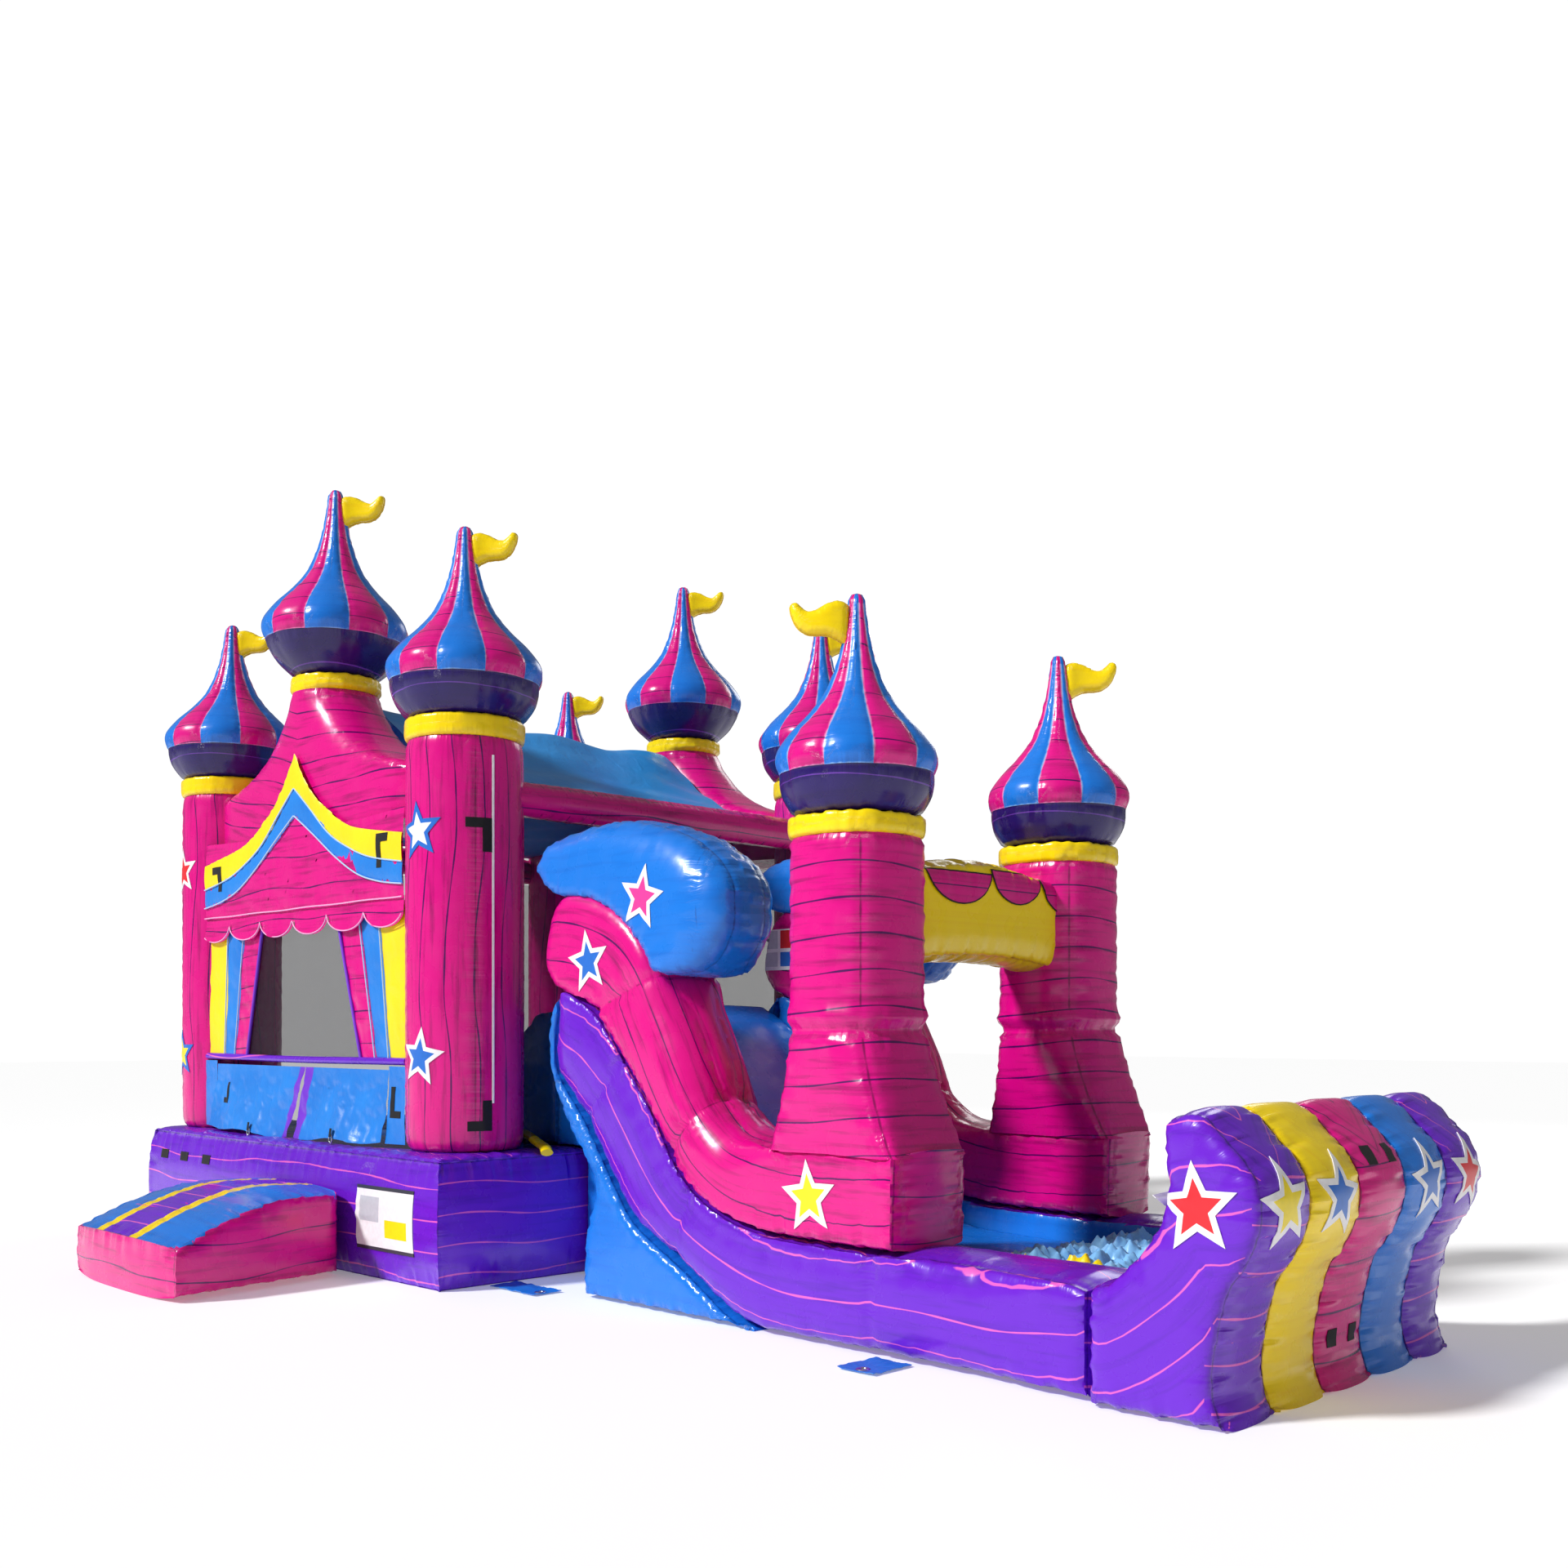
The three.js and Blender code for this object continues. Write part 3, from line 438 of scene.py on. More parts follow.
def finish_piece(name, bm, materials, replaces=(), body=INFLATABLE, film=None, paint=None, host=False,
    crease=58):
    """The bmesh becomes a piece at its place in the frame. film gives its film coordinates, and paint the material of each face."""
    if not bm.verts.layers.float.get("seam_away"):
        layer = bm.verts.layers.float.new("seam_away")
        for v in bm.verts:
            v[layer] = 1.0
    for v in bm.verts:
        v.co.z = max(v.co.z, 0.0)
    mesh = bpy.data.meshes.new(name)
    bm.to_mesh(mesh)
    bm.free()
    for material in materials:
        mesh.materials.append(material)
    mesh.shade_smooth()
    mesh.set_sharp_from_angle(angle=math.radians(crease))
    p = np.empty(len(mesh.vertices) * 3)
    mesh.vertices.foreach_get("co", p)
    p = p.reshape(-1, 3)
    normal, centre = np.empty(len(mesh.polygons) * 3), np.empty(len(mesh.polygons) * 3)
    mesh.polygons.foreach_get("normal", normal)
    mesh.polygons.foreach_get("center", centre)
    normal, centre = normal.reshape(-1, 3), centre.reshape(-1, 3)
    if paint:
        mesh.polygons.foreach_set("material_index", np.asarray(paint(centre, normal), dtype=np.int32))
    at = np.empty(len(mesh.loops), dtype=np.int32)
    mesh.loops.foreach_get("vertex_index", at)
    count = np.empty(len(mesh.polygons), dtype=np.int32)
    mesh.polygons.foreach_get("loop_total", count)
    rule = film or flat_film()
    uv = rule(p, at, np.repeat(normal, count, axis=0), np.repeat(centre, count, axis=0))
    mesh.uv_layers.new(name="film").data.foreach_set("uv", uv.astype(np.float32).ravel())
    if host:
        hosts[name] = BVHTree.FromPolygons([tuple(q) for q in p], [tuple(f.vertices) for f in mesh.polygons])
    mesh.transform(Matrix.Translation(HOUSE))
    mesh.update()
    piece = bpy.data.objects.new(name, mesh)
    scene.collection.objects.link(piece)
    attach(piece, body)
    if replaces:
        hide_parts(*replaces)
    return piece


def slab(outline, h0, h1, cells, cuts=1, cells_h=None):
    """A closed solid: the outline extruded from h0 to h1, cut by a square grid and then divided finer."""
    bm = bmesh.new()
    loop = [bm.verts.new((a, b, h0)) for a, b in outline]
    face = bm.faces.new(loop)
    raised = bmesh.ops.extrude_face_region(bm, geom=[face])
    bmesh.ops.translate(bm, verts=[g for g in raised["geom"] if isinstance(g, bmesh.types.BMVert)], vec=(0, 0, h1 - h0))
    low, high = outline.min(axis=0), outline.max(axis=0)
    marks = []
    for axis, (lo, hi, size) in enumerate([(low[0], high[0], cells), (low[1], high[1], cells), (h0, h1, cells_h or cells)]):
        count = max(1, int(round((hi - lo) / size)))
        for i in range(1, count):
            co, no = [0, 0, 0], [0, 0, 0]
            co[axis], no[axis] = lo + (hi - lo) * i / count, 1
            marks.append((co, no))
    for co, no in marks:
        bmesh.ops.bisect_plane(bm, geom=bm.verts[:] + bm.edges[:] + bm.faces[:], dist=1e-5, plane_co=co, plane_no=no)
    bmesh.ops.triangulate(bm, faces=[f for f in bm.faces if len(f.verts) > 4])
    if cuts:
        bmesh.ops.subdivide_edges(bm, edges=bm.edges[:], cuts=cuts, use_grid_fill=True)
    bmesh.ops.remove_doubles(bm, verts=bm.verts[:], dist=1e-5)
    return bm


def puffed(outline, h0, h1, plane, cells=0.06, cuts=1, side=0.03, roll=(0.12, 0.05), soft=None, ends=(1.0, 1.0),
    sewn=None, rows=(), more=(),
           depth=0.006, fold=0.1, seed=0.0, wave=0.09, power=2.0, cells_h=None, groove=0.003):
    """An air-filled piece: two panels of the outline joined by a strip, every one swollen between its seams.
    roll is how far in from the outline a panel turns over, and how far it falls there; soft scales that from 0, crisp, to 1,
    point by point. ends scales it for each panel. side is how far the strip's seams lie inside its middle. rows are inner seams,
    as (line, pull, width), and sewn says where along the outline the seams show."""
    outline = widdershins(outline)
    edge = Line(outline)
    bm = slab(outline, h0, h1, cells, cuts, cells_h)

    def swell(p):
        away, _, normal, _ = edge.near(p[:, :2])
        t = (p[:, 2] - h0) / (h1 - h0)
        w = soft(p[:, :2]) if soft else np.ones(len(p))
        reach = 0.045 + max(roll[0] - 0.045, 0) * w
        fall = min(0.018, roll[1]) + max(roll[1] - 0.018, 0) * w
        theta = np.pi / 2 * np.clip(away / reach, 0, 1)
        spread = np.where(away < reach, away - reach * (1 - np.cos(theta)), 0)
        inset = fall * (1 - np.sin(theta))
        across = 1 - np.abs(2 * t - 1) ** power
        row = np.zeros(len(p))
        for line, amount, width in rows:
            d = Line(np.array(line), closed=False).near(p[:, :2])[0]
            row = row + amount * (0.65 * np.exp(-((d / width) ** 2) * 2) + 0.35 * np.exp(-((d / (3 * width)) ** 2)))
        q = p.copy()
        q[:, :2] += normal * (spread - side * (1 - across) * np.exp(-away / (0.8 * reach)) - row * np.exp(-away / 0.06))[:, None]
        f0, f1 = (inset + row) * ends[0], (inset + row) * ends[1]
        q[:, 2] = (h0 + f0) * (1 - t) + (h1 - f1) * t
        return q

    place(bm, TURN[plane](swell(coords(bm))))
    outward(bm)
    seams = []
    ring = np.concatenate([outline, outline[:1]])
    shown = sewn(ring) if sewn else np.ones(len(ring), bool)
    for h in (h0, h1):
        line = TURN[plane](swell(np.column_stack([ring, np.full(len(ring), h)])))
        run = []
        for point, show in zip(line, shown):
            if show:
                run.append(point)
            elif len(run) > 1:
                seams.append(run)
                run = []
            else:
                run = []
        if len(run) > 1:
            seams.append(run)
    for line, amount, _ in rows:
        line = np.array(line)
        fine = np.stack([np.interp(np.linspace(0, 1, 60), np.linspace(0, 1, len(line)), line[:, k]) for k in range(2)], axis=1)
        for h in (h0, h1):
            seams.append(TURN[plane](swell(np.column_stack([fine, np.full(60, h)]))))
    draw_in(bm, seams + list(more), depth, fold, seed, wave, groove)
    return bm


def spun(profile, steps):
    """A profile of (radius, height) turned all the way round Z."""
    bm = bmesh.new()
    verts = [bm.verts.new((r, 0, z)) for r, z in profile]
    edges = [bm.edges.new(pair) for pair in zip(verts, verts[1:])]
    bmesh.ops.spin(bm, geom=verts + edges, cent=(0, 0, 0), axis=(0, 0, 1), angle=2 * math.pi, steps=steps, use_merge=True)
    bmesh.ops.remove_doubles(bm, verts=bm.verts[:], dist=1e-5)
    bmesh.ops.dissolve_degenerate(bm, edges=bm.edges[:], dist=1e-6)
    outward(bm)
    return bm


def smooth_profile(points, spacing, keep=()):
    return curved(points, spacing, closed=False, keep=keep)


def ring_at(x, y, r, z, start=0.0):
    a = np.linspace(0, 2 * np.pi, 120) + start
    return np.stack([x + r * np.cos(a), y + r * np.sin(a), np.full(120, z)], axis=1)


# ---------------------------------------------------------------- corner turrets


def turret(name, node, x, y, radius, z0, z_collar, z_top, out=0.007):
    body = smooth_profile([(radius - 0.03, z0), (radius - 0.006, z0 + 0.05), (radius, z0 + 0.22),
        (radius + 0.002, (z0 + z_collar) / 2),
                           (radius, z_collar - 0.2), (radius - 0.003, z_collar - 0.05), (radius - 0.012, z_collar)], 0.028)
    h = z_top - z_collar
    band = smooth_profile([(radius - 0.012, z_collar), (radius, z_collar + 0.008), (radius + out * 0.9, z_collar + h * 0.3),
                           (radius + out, z_collar + h * 0.55), (radius + out * 0.7, z_collar + h * 0.88),
                               (radius - 0.004, z_top - 0.003), (radius - 0.03, z_top)], 0.012)
    profile = [(0, z0)] + [tuple(p) for p in body] + [tuple(p) for p in band[1:]] + [(0, z_top)]
    bm = spun(profile, 108)
    bmesh.ops.translate(bm, verts=bm.verts[:], vec=(x, y, 0))
    seams = [ring_at(x, y, radius - 0.012, z_collar), ring_at(x, y, radius - 0.02, z_top), ring_at(x, y, radius - 0.03, z0)]
    for k in range(4):
        a = math.radians(45 + 90 * k + 22)
        seams.append([(x + radius * math.cos(a), y + radius * math.sin(a), z) for z in (z0 + 0.03, z_collar - 0.02)])
    draw_in(bm, seams, 0.0035, 0.07, seed=x + 2 * y, wave=0.07)
    return finish_piece(name, bm, [film_pink, film_yellow], [node], host=True,
                        film=round_film(x, y, radius, upright=True), paint=lambda c, n: c[:, 2] > z_collar + 0.001)


turret_at = {}
for corner in CORNERS:
    node = "turret_" + corner
    low, high = box(node)
    x, y, _ = middle(node) - HOUSE
    turret_at[corner] = (x, y)
    turret("tower_" + corner, node, x, y, 0.335, low[2], 3.056, high[2])


# ------------------------------------------------------------------------ domes
def onion(name, node, x, y, rc, blue_at):
    """Ten gores, pink and blue by turns, over a dark purple cone. blue_at is the direction of one blue gore's middle."""
    low, high = box(node)
    z0, zt = low[2], high[2]
    R = (high[0] - low[0]) / 2
    h = zt - z0
    rim = z0 + h * 0.185
    cone = smooth_profile([(rc - 0.02, z0), (rc + 0.012, z0 + h * 0.02), ((rc + R) / 2 + 0.014, z0 + h * 0.095),
        (R * 0.955, rim)], 0.022)
    dome = smooth_profile([(R * 0.955, rim), (R * 1.0, z0 + h * 0.24), (R * 0.975, z0 + h * 0.29),
        (R * 0.82, z0 + h * 0.37), (R * 0.6, z0 + h * 0.455),
                           (R * 0.405, z0 + h * 0.55), (R * 0.265, z0 + h * 0.67), (R * 0.18, z0 + h * 0.79),
                               (R * 0.125, z0 + h * 0.92),
                           (R * 0.108, z0 + h * 0.965), (R * 0.07, z0 + h * 0.99), (0.0, zt)], 0.022)
    profile = [(0, z0)] + [tuple(p) for p in cone] + [tuple(p) for p in dome[1:]]
    gores = 10
    bm = spun(profile, gores * 12)
    start = math.radians(blue_at) - math.pi / gores
    p = coords(bm)
    a, r = np.arctan2(p[:, 1], p[:, 0]), np.hypot(p[:, 0], p[:, 1])
    share = ((a - start) / (2 * np.pi / gores)) % 1.0
    belly = np.abs(np.sin(np.pi * share)) ** 0.8
    above = np.clip((p[:, 2] - rim) / 0.06, 0, 1)
    below = 1 - above
    swollen = r * (1 - 0.045 * (1 - belly) * above - 0.02 * (1 - belly) * below * np.clip((p[:, 2] - z0) / 0.1, 0, 1))
    p[:, 0], p[:, 1] = swollen * np.cos(a), swollen * np.sin(a)
    place(bm, p)
    bmesh.ops.translate(bm, verts=bm.verts[:], vec=(x, y, 0))
    outward(bm)
    seams = [ring_at(x, y, R * 0.95, rim), ring_at(x, y, rc - 0.01, z0)]
    for k in range(gores):
        t = start + 2 * math.pi * k / gores
        seams.append([(x + q[0] * 0.955 * math.cos(t), y + q[0] * 0.955 * math.sin(t), q[1]) for q in dome[:-3]])
    draw_in(bm, seams, 0.0042, 0.05, seed=x * 3 + y, wave=0.075)

    def gore(c, n):
        share = ((np.arctan2(c[:, 1] - y, c[:, 0] - x) - start) / (2 * np.pi / gores)) % gores
        return np.where(c[:, 2] < rim, 2, share.astype(int) % 2)

    return finish_piece(name, bm, [film_blue_gore, film_pink_gore, film_night], [node],
                        film=round_film(x, y, R * 0.7), paint=gore)


def pennant(name, node, tip, way, size):
    """A small air-filled pennant in an S bend, sewn to the dome just under its tip."""
    shape = [(0.0, 0.092), (0.0, -0.095), (0.03, -0.092), (0.065, -0.07), (0.11, -0.052), (0.16, -0.05), (0.2, -0.042),
        (0.24, -0.012), (0.266, 0.035),
             (0.276, 0.085), (0.262, 0.108), (0.238, 0.108), (0.212, 0.085), (0.185, 0.068), (0.15, 0.078),
                 (0.105, 0.102), (0.06, 0.114), (0.025, 0.108)]
    outline = curved(np.array(shape) * size, 0.014, keep=(0, 1))
    bm = puffed(outline, -0.046 * size, 0.046 * size, "xz", cells=0.03, cuts=2, side=0.004, roll=(0.045 * size, 0.04 * size),
                depth=0.003, fold=0.035, wave=0.04, seed=way, cells_h=0.02)
    p = coords(bm)
    p[:, 1] += 0.012 * size * np.sin(p[:, 0] / size * 17)  # it waves from side to side too
    place(bm, p)
    bmesh.ops.rotate(bm, verts=bm.verts[:], cent=(0, 0, 0), matrix=Matrix.Rotation(way, 3, "Z"))
    bmesh.ops.translate(bm, verts=bm.verts[:], vec=tip)
    outward(bm)
    return finish_piece(name, bm, [film_yellow], [node])


def crown(place_name, x, y, rc, blue_at, away=False):
    onion("onion_dome_" + place_name, "dome_" + place_name, x, y, rc, blue_at)
    low, high = box("dome_" + place_name)
    size = 1.0 if "gable" not in place_name else 1.05
    way = math.radians(225 if away else 45)
    start = (x + 0.03 * math.cos(way), y + 0.03 * math.sin(way), high[2] - 0.15 * size)
    pennant("pennant_" + place_name, "flag_" + place_name, start, way, 1.02 * size)


for corner in CORNERS:
    crown(corner, *turret_at[corner], 0.335, -36)


# ----------------------------------------------------------------------- gables
def gable(name, node, y):
    """A padded peak that flares from a round neck out to the turrets on both sides."""
    half = [(0.271, 3.567), (0.3, 3.52), (0.335, 3.46), (0.4, 3.385), (0.49, 3.29), (0.62, 3.19), (0.8, 3.1),
        (1.0, 3.035), (1.16, 2.995), (1.25, 2.95)]
    levels = smooth_profile([(a, z) for a, z in half], 0.03)
    low_part = [(1.25, z) for z in np.linspace(2.92, 2.645, 10)]
    neck = smooth_profile([(0.271, 3.567), (0.3, 3.59), (0.297, 3.63), (0.292, 3.66), (0.25, 3.674)], 0.016)
    profile = [(0, 2.64)] + [(a, z) for a, z in reversed(low_part)] + [(float(a), float(z)) for a,
        z in levels[::-1]] + [tuple(q) for q in neck[1:]] + [(0, 3.674)]
    bm = spun(profile, 144)
    p = coords(bm)
    a = np.arctan2(p[:, 1], p[:, 0])
    r = np.hypot(p[:, 0], p[:, 1])
    wide = np.clip((r - 0.271) / 0.9, 0, 1)
    n = 2 + 3.5 * wide
    c, s = np.cos(a), np.sin(a)
    depth = np.where(r > 0.271, 0.271 - 0.012 * wide, r)
    p[:, 0] = r * np.sign(c) * np.abs(c) ** (2 / n)
    p[:, 1] = depth * np.sign(s) * np.abs(s) ** (2 / n) * np.where(r > 1e-3, 1, 0)
    place(bm, p)
    bmesh.ops.translate(bm, verts=bm.verts[:], vec=(0, y, 0))
    outward(bm)
    seams = [ring_at(0, y, 0.275, 3.57), ring_at(0, y, 0.26, 3.672)]
    for sx in (-1, 1):  # the two long seams down the flare's shoulders
        for sy in (-1, 1):
            seams.append([(sx * float(q[0]) * 0.97, y + sy * 0.235, float(q[1]) - 0.012) for q in levels])
    draw_in(bm, seams, 0.005, 0.08, seed=y, wave=0.08)

    def rule(p, at, normal, centre):
        return np.stack([p[:, 0], p[:, 2] - 0.12 * np.abs(p[:, 0]) + 0.1 * p[:, 0]], axis=1)[at]

    return finish_piece(name, bm, [film_pink, film_yellow], [node], host=True, film=rule,
                        paint=lambda c, n: (c[:, 2] > 3.569) & (np.abs(c[:, 0]) < 0.33))


for node, place_name in (("gable_front", "gable_front"), ("gable_back", "gable_back")):
    y = (middle("dome_" + place_name) - HOUSE)[1]
    gable("peak_" + place_name[6:], node, y)
    crown(place_name, 0.0, y, 0.271, -36)


# ------------------------------------------------------------- beams and roof
for side, s in (("left", -1), ("right", 1)):
    node = "beam_" + side
    x, _, z = middle(node) - HOUSE
    bm = spun([(0, -1.31)] + [(0.106 - 0.012 * abs(t) ** 12, 1.31 * t) for t in np.linspace(-1, 1, 80)] + [(0, 1.31)], 56)
    p = coords(bm)
    place(bm, np.stack([x + p[:, 0], p[:, 2], z + p[:, 1]], axis=1))
    outward(bm)
    seams = [[(x + 0.106 * math.cos(t), v, z + 0.106 * math.sin(t)) for v in np.linspace(-1.3, 1.3, 40)] for t in (0.9,
        2.4, -1.57)]
    draw_in(bm, seams, 0.004, 0.06, seed=s, wave=0.08)
    finish_piece("side_beam_" + side, bm, [film_pink_plain], [node], host=True, film=wall_film())

ROOF = [(0, 3.545), (0.15, 3.475), (0.32, 3.345), (0.52, 3.195), (0.76, 3.055), (1.04, 2.955), (1.34, 2.9), (1.672, 2.858)]
roof_x, roof_z = np.array(ROOF).T
bm = bmesh.new()
bmesh.ops.create_grid(bm, x_segments=110, y_segments=84, size=1.0)
p = coords(bm)
x, y = p[:, 0] * 1.62, p[:, 1] * 1.215
z = np.interp(np.abs(x), roof_x, roof_z)
for k in range(2):
    z = np.interp(np.abs(x), np.linspace(0, 1.7, 60),
        np.convolve(np.pad(np.interp(np.linspace(0, 1.7, 60), roof_x, roof_z), 2, mode="edge"), np.ones(5) / 5, "valid"))
pull = 0.012 * np.sin(9 * x + 3 * y) * np.sin(4 * y + 1) + 0.007 * np.sin(23 * x - 5 * y + 2 * np.sin(3 * y)) + 0.012 * np.sin(7.0 * y + 2.5 * np.abs(x))
z = z + 0.006 + pull * (1 - np.clip(np.abs(x) / 1.62, 0,
    1) ** 6) - 0.03 * (1 - (y / 1.215) ** 2) * np.sin(np.pi * np.clip(np.abs(x) / 1.62, 0, 1))
place(bm, np.stack([x, y, z], axis=1))
bmesh.ops.solidify(bm, geom=bm.faces[:], thickness=0.006)
outward(bm)
roof = finish_piece("roof_sheet", bm, [sheet_blue_roof], ["roof_cover"])

for node in ("net_wall_left", "net_wall_right", "net_wall_back", "window_net_front"):
    nodes[node].data.materials.clear()
    nodes[node].data.materials.append(net_black)

# ------------------------------------------------------------------------ base
low, high = box("base_floor")
x0, y0 = (low - HOUSE)[:2]
x1, y1 = (high - HOUSE)[:2]
FLOOR = 0.724
bulge = 0.035  # its sides belly out between corners that are drawn in
BASE = curved([(x0 + bulge, y0 + bulge), (x0 + 0.4 * (x1 - x0), y0), (x0 + 0.6 * (x1 - x0), y0), (x1 - bulge, y0 + bulge),
               (x1, y0 + 0.4 * (y1 - y0)), (x1, y0 + 0.6 * (y1 - y0)), (x1 - bulge, y1 - bulge), (x0 + 0.6 * (x1 - x0), y1),
               (x0 + 0.4 * (x1 - x0), y1), (x0 + bulge, y1 - bulge), (x0, y0 + 0.6 * (y1 - y0)),
                   (x0, y0 + 0.4 * (y1 - y0))], 0.08, keep=(0, 3, 6, 9))
posts = [[(x, y, z) for z in np.linspace(0.02, 0.7, 20)] for x in (x0 + bulge, x1 - bulge) for y in (y0 + bulge, y1 - bulge)]
posts += [[(1.2, y0 + 0.004, z) for z in np.linspace(0.02, 0.7, 20)], [(x1 - 0.004, 0.6, z) for z in np.linspace(0.02, 0.7, 20)],
          [(-0.4, y1 - 0.004, z) for z in np.linspace(0.02, 0.7, 20)], [(x0 + 0.004, 0.2, z) for z in np.linspace(0.02, 0.7, 20)]]
tufts = [([(x, -1.15), (x, 1.15)], 0.028, 0.05) for x in np.arange(-1.3, 1.5,
    0.43)]  # sewn-down rows make the floor's long cushions
bm = puffed(BASE, 0.0, FLOOR, "xy", cells=0.1, cuts=2, side=0.05, roll=(0.14, 0.035), ends=(0.1, 1.0), rows=tufts, more=posts,
            depth=0.0085, fold=0.12, wave=0.1, power=2.4)
finish_piece("base_cushion", bm, [film_purple, film_blue], ["base_floor"], host=True,
    film=wall_film(),
             paint=lambda c, n: (n[:, 2] > 0.5) & (np.abs(c[:, 0]) < 1.62) & (np.abs(c[:, 1]) < 1.6))

# ------------------------------------------------------------------------ ramp
low, high = box("entrance_ramp")
rx0, ry0 = (low - HOUSE)[:2]
rx1, ry1 = (high - HOUSE)[:2]
crown_z = high[2]
RAMP = curved([(ry0 + 0.012, 0.0), (ry0, 0.15), (ry0 + 0.012, 0.3), (ry0 + 0.32, 0.43), (ry0 + 0.68, crown_z - 0.03),
    (ry1 - 0.02, crown_z - 0.045), (ry1 - 0.02, 0.0)],
              0.05, keep=(0, 2, 5, 6))
across = rx1 - rx0
stripes = [0.27, 0.34, 0.60, 0.67]
seam_lines = [[(rx0 + f * across, y,
    float(np.interp(y, [ry0, ry0 + 0.32, ry0 + 0.68, ry1],
        [0.3, 0.43, crown_z - 0.03, crown_z - 0.045]))) for y in np.linspace(ry0 + 0.02, ry1 - 0.02, 40)] for f in stripes]
seam_lines += [[(x, ry0 + 0.012, 0.3) for x in np.linspace(rx0, rx1, 60)]]
bm = puffed(RAMP, rx0, rx1, "yz", cells=0.07, cuts=1, side=0.035, roll=(0.1, 0.035), more=seam_lines,
            depth=0.007, fold=0.1, wave=0.085, power=3.0)
p = coords(bm)
share = np.clip((p[:, 1] - ry0) / (ry1 - ry0), 0, 1)
p[:, 0] -= (0.2 * share + 0.1 * np.clip((share - 0.88) / 0.12, 0, 1) ** 2) * (p[:,
    0] - rx0) / across  # it narrows toward the house
place(bm, p)


def ramp_paint(c, n):
    t = np.clip((c[:, 1] - ry0) / (ry1 - ry0), 0, 1)
    f = (c[:, 0] - rx0) / (across - 0.2 * t)
    band = np.select([f < 0.27, f < 0.34, f < 0.60, f < 0.67], [1, 2, 3, 2], 1)
    top = (np.abs(n[:, 0]) < 0.75) & (n[:, 2] > 0.35) & (c[:, 2] > 0.285)
    return np.where(top, band, 0)


finish_piece("entry_ramp", bm, [film_pink_plain, film_blue, film_yellow, film_purple], ["entrance_ramp"],
    host=True,
             film=wall_film(), paint=ramp_paint)

# ----------------------------------------------------------------------- slide
lane_y0, lane_y1 = (box("climb_steps")[0] - HOUSE)[1], (box("climb_steps")[1] - HOUSE)[1]
SEAM = [(2.404, 1.639), (2.625, 1.569), (2.757, 1.487), (3.134, 1.078), (3.371, 0.749), (3.598, 0.585), (3.921, 0.495),
    (4.377, 0.474), (4.783, 0.474)]
LOWER = [(2.33, 1.388), (2.344, 1.187), (2.592, 0.93), (2.855, 0.589), (3.006, 0.427), (3.404, 0.224), (3.7, 0.06),
    (3.9, 0.0), (5.739, 0.0), (5.739, 0.44), (5.64, 0.47), (4.9, 0.48)] + SEAM[::-1]
UPPER = [(a - 0.014, b - 0.018) for a, b in SEAM] + [(4.783, 0.892), (3.99, 0.892), (3.74, 0.93), (3.6, 1.02),
    (3.522, 1.12), (3.454, 1.27), (3.339, 1.483), (3.206, 1.709), (3.134, 1.828),
                (3.02, 1.95), (2.886, 2.046), (2.68, 2.13), (2.463, 2.154), (2.324, 2.062), (2.253, 1.829), (2.29, 1.7)]
HOOD = [(2.2, 2.28), (2.27, 2.185), (2.37, 2.125), (2.463, 2.11), (2.67, 2.085), (2.86, 2.005), (2.99, 1.91),
    (3.105, 1.79), (3.17, 1.69), (3.34, 1.672), (3.46, 1.69),
        (3.57, 1.79), (3.635, 1.90), (3.645, 2.02), (3.63, 2.13), (3.55, 2.24), (3.39, 2.355), (3.12, 2.453),
            (2.839, 2.506), (2.577, 2.502), (2.37, 2.462), (2.255, 2.41)]
lower_outline = curved(LOWER, 0.045, keep=(7, 8, 9, 12))
upper_outline = curved(UPPER, 0.045, keep=(8, 9, 10))
hood_outline = curved(HOOD, 0.045, keep=(8,))
lower_guide = [(2.2, 1.75), (2.404, 1.639), (2.757, 1.487), (3.134, 1.078), (3.371, 0.749), (3.598, 0.585),
    (3.921, 0.495), (4.377, 0.474), (5.74, 0.47), (6.4, 0.47)]
upper_guide = [(2.25, 1.9), (2.6, 1.88), (2.9, 1.75), (3.15, 1.4), (3.4, 0.97), (3.7, 0.74), (4.1, 0.69), (4.9, 0.69)]
seam_curve = Line(curved(SEAM, 0.03, closed=False), closed=False)


under_hood = Line(curved([(2.2, 2.28), (2.27, 2.2), (2.463, 2.14), (2.68, 2.12), (2.88, 2.03), (3.02, 1.93),
    (3.134, 1.81), (3.2, 1.69)], 0.04, closed=False), closed=False)


def wall_soft(q):
    """The wall is a round tube up the slope, flat beside its lower seam and its bulb, and square over the block."""
    off = np.clip(seam_curve.near(q)[0] / 0.32, 0, 1)
    bulb = 1 - 0.72 * np.clip((q[:, 1] - 1.5) / 0.25, 0, 1)
    return np.clip(off * 1.3, 0, 1) * np.clip((4.0 - q[:, 0]) / 0.35, 0, 1) * bulb


def hood_soft(q):
    """Crisp where the hood is sewn to the wall, full over its back."""
    return np.clip((under_hood.near(q)[0] - 0.03) / 0.3, 0.05, 1)


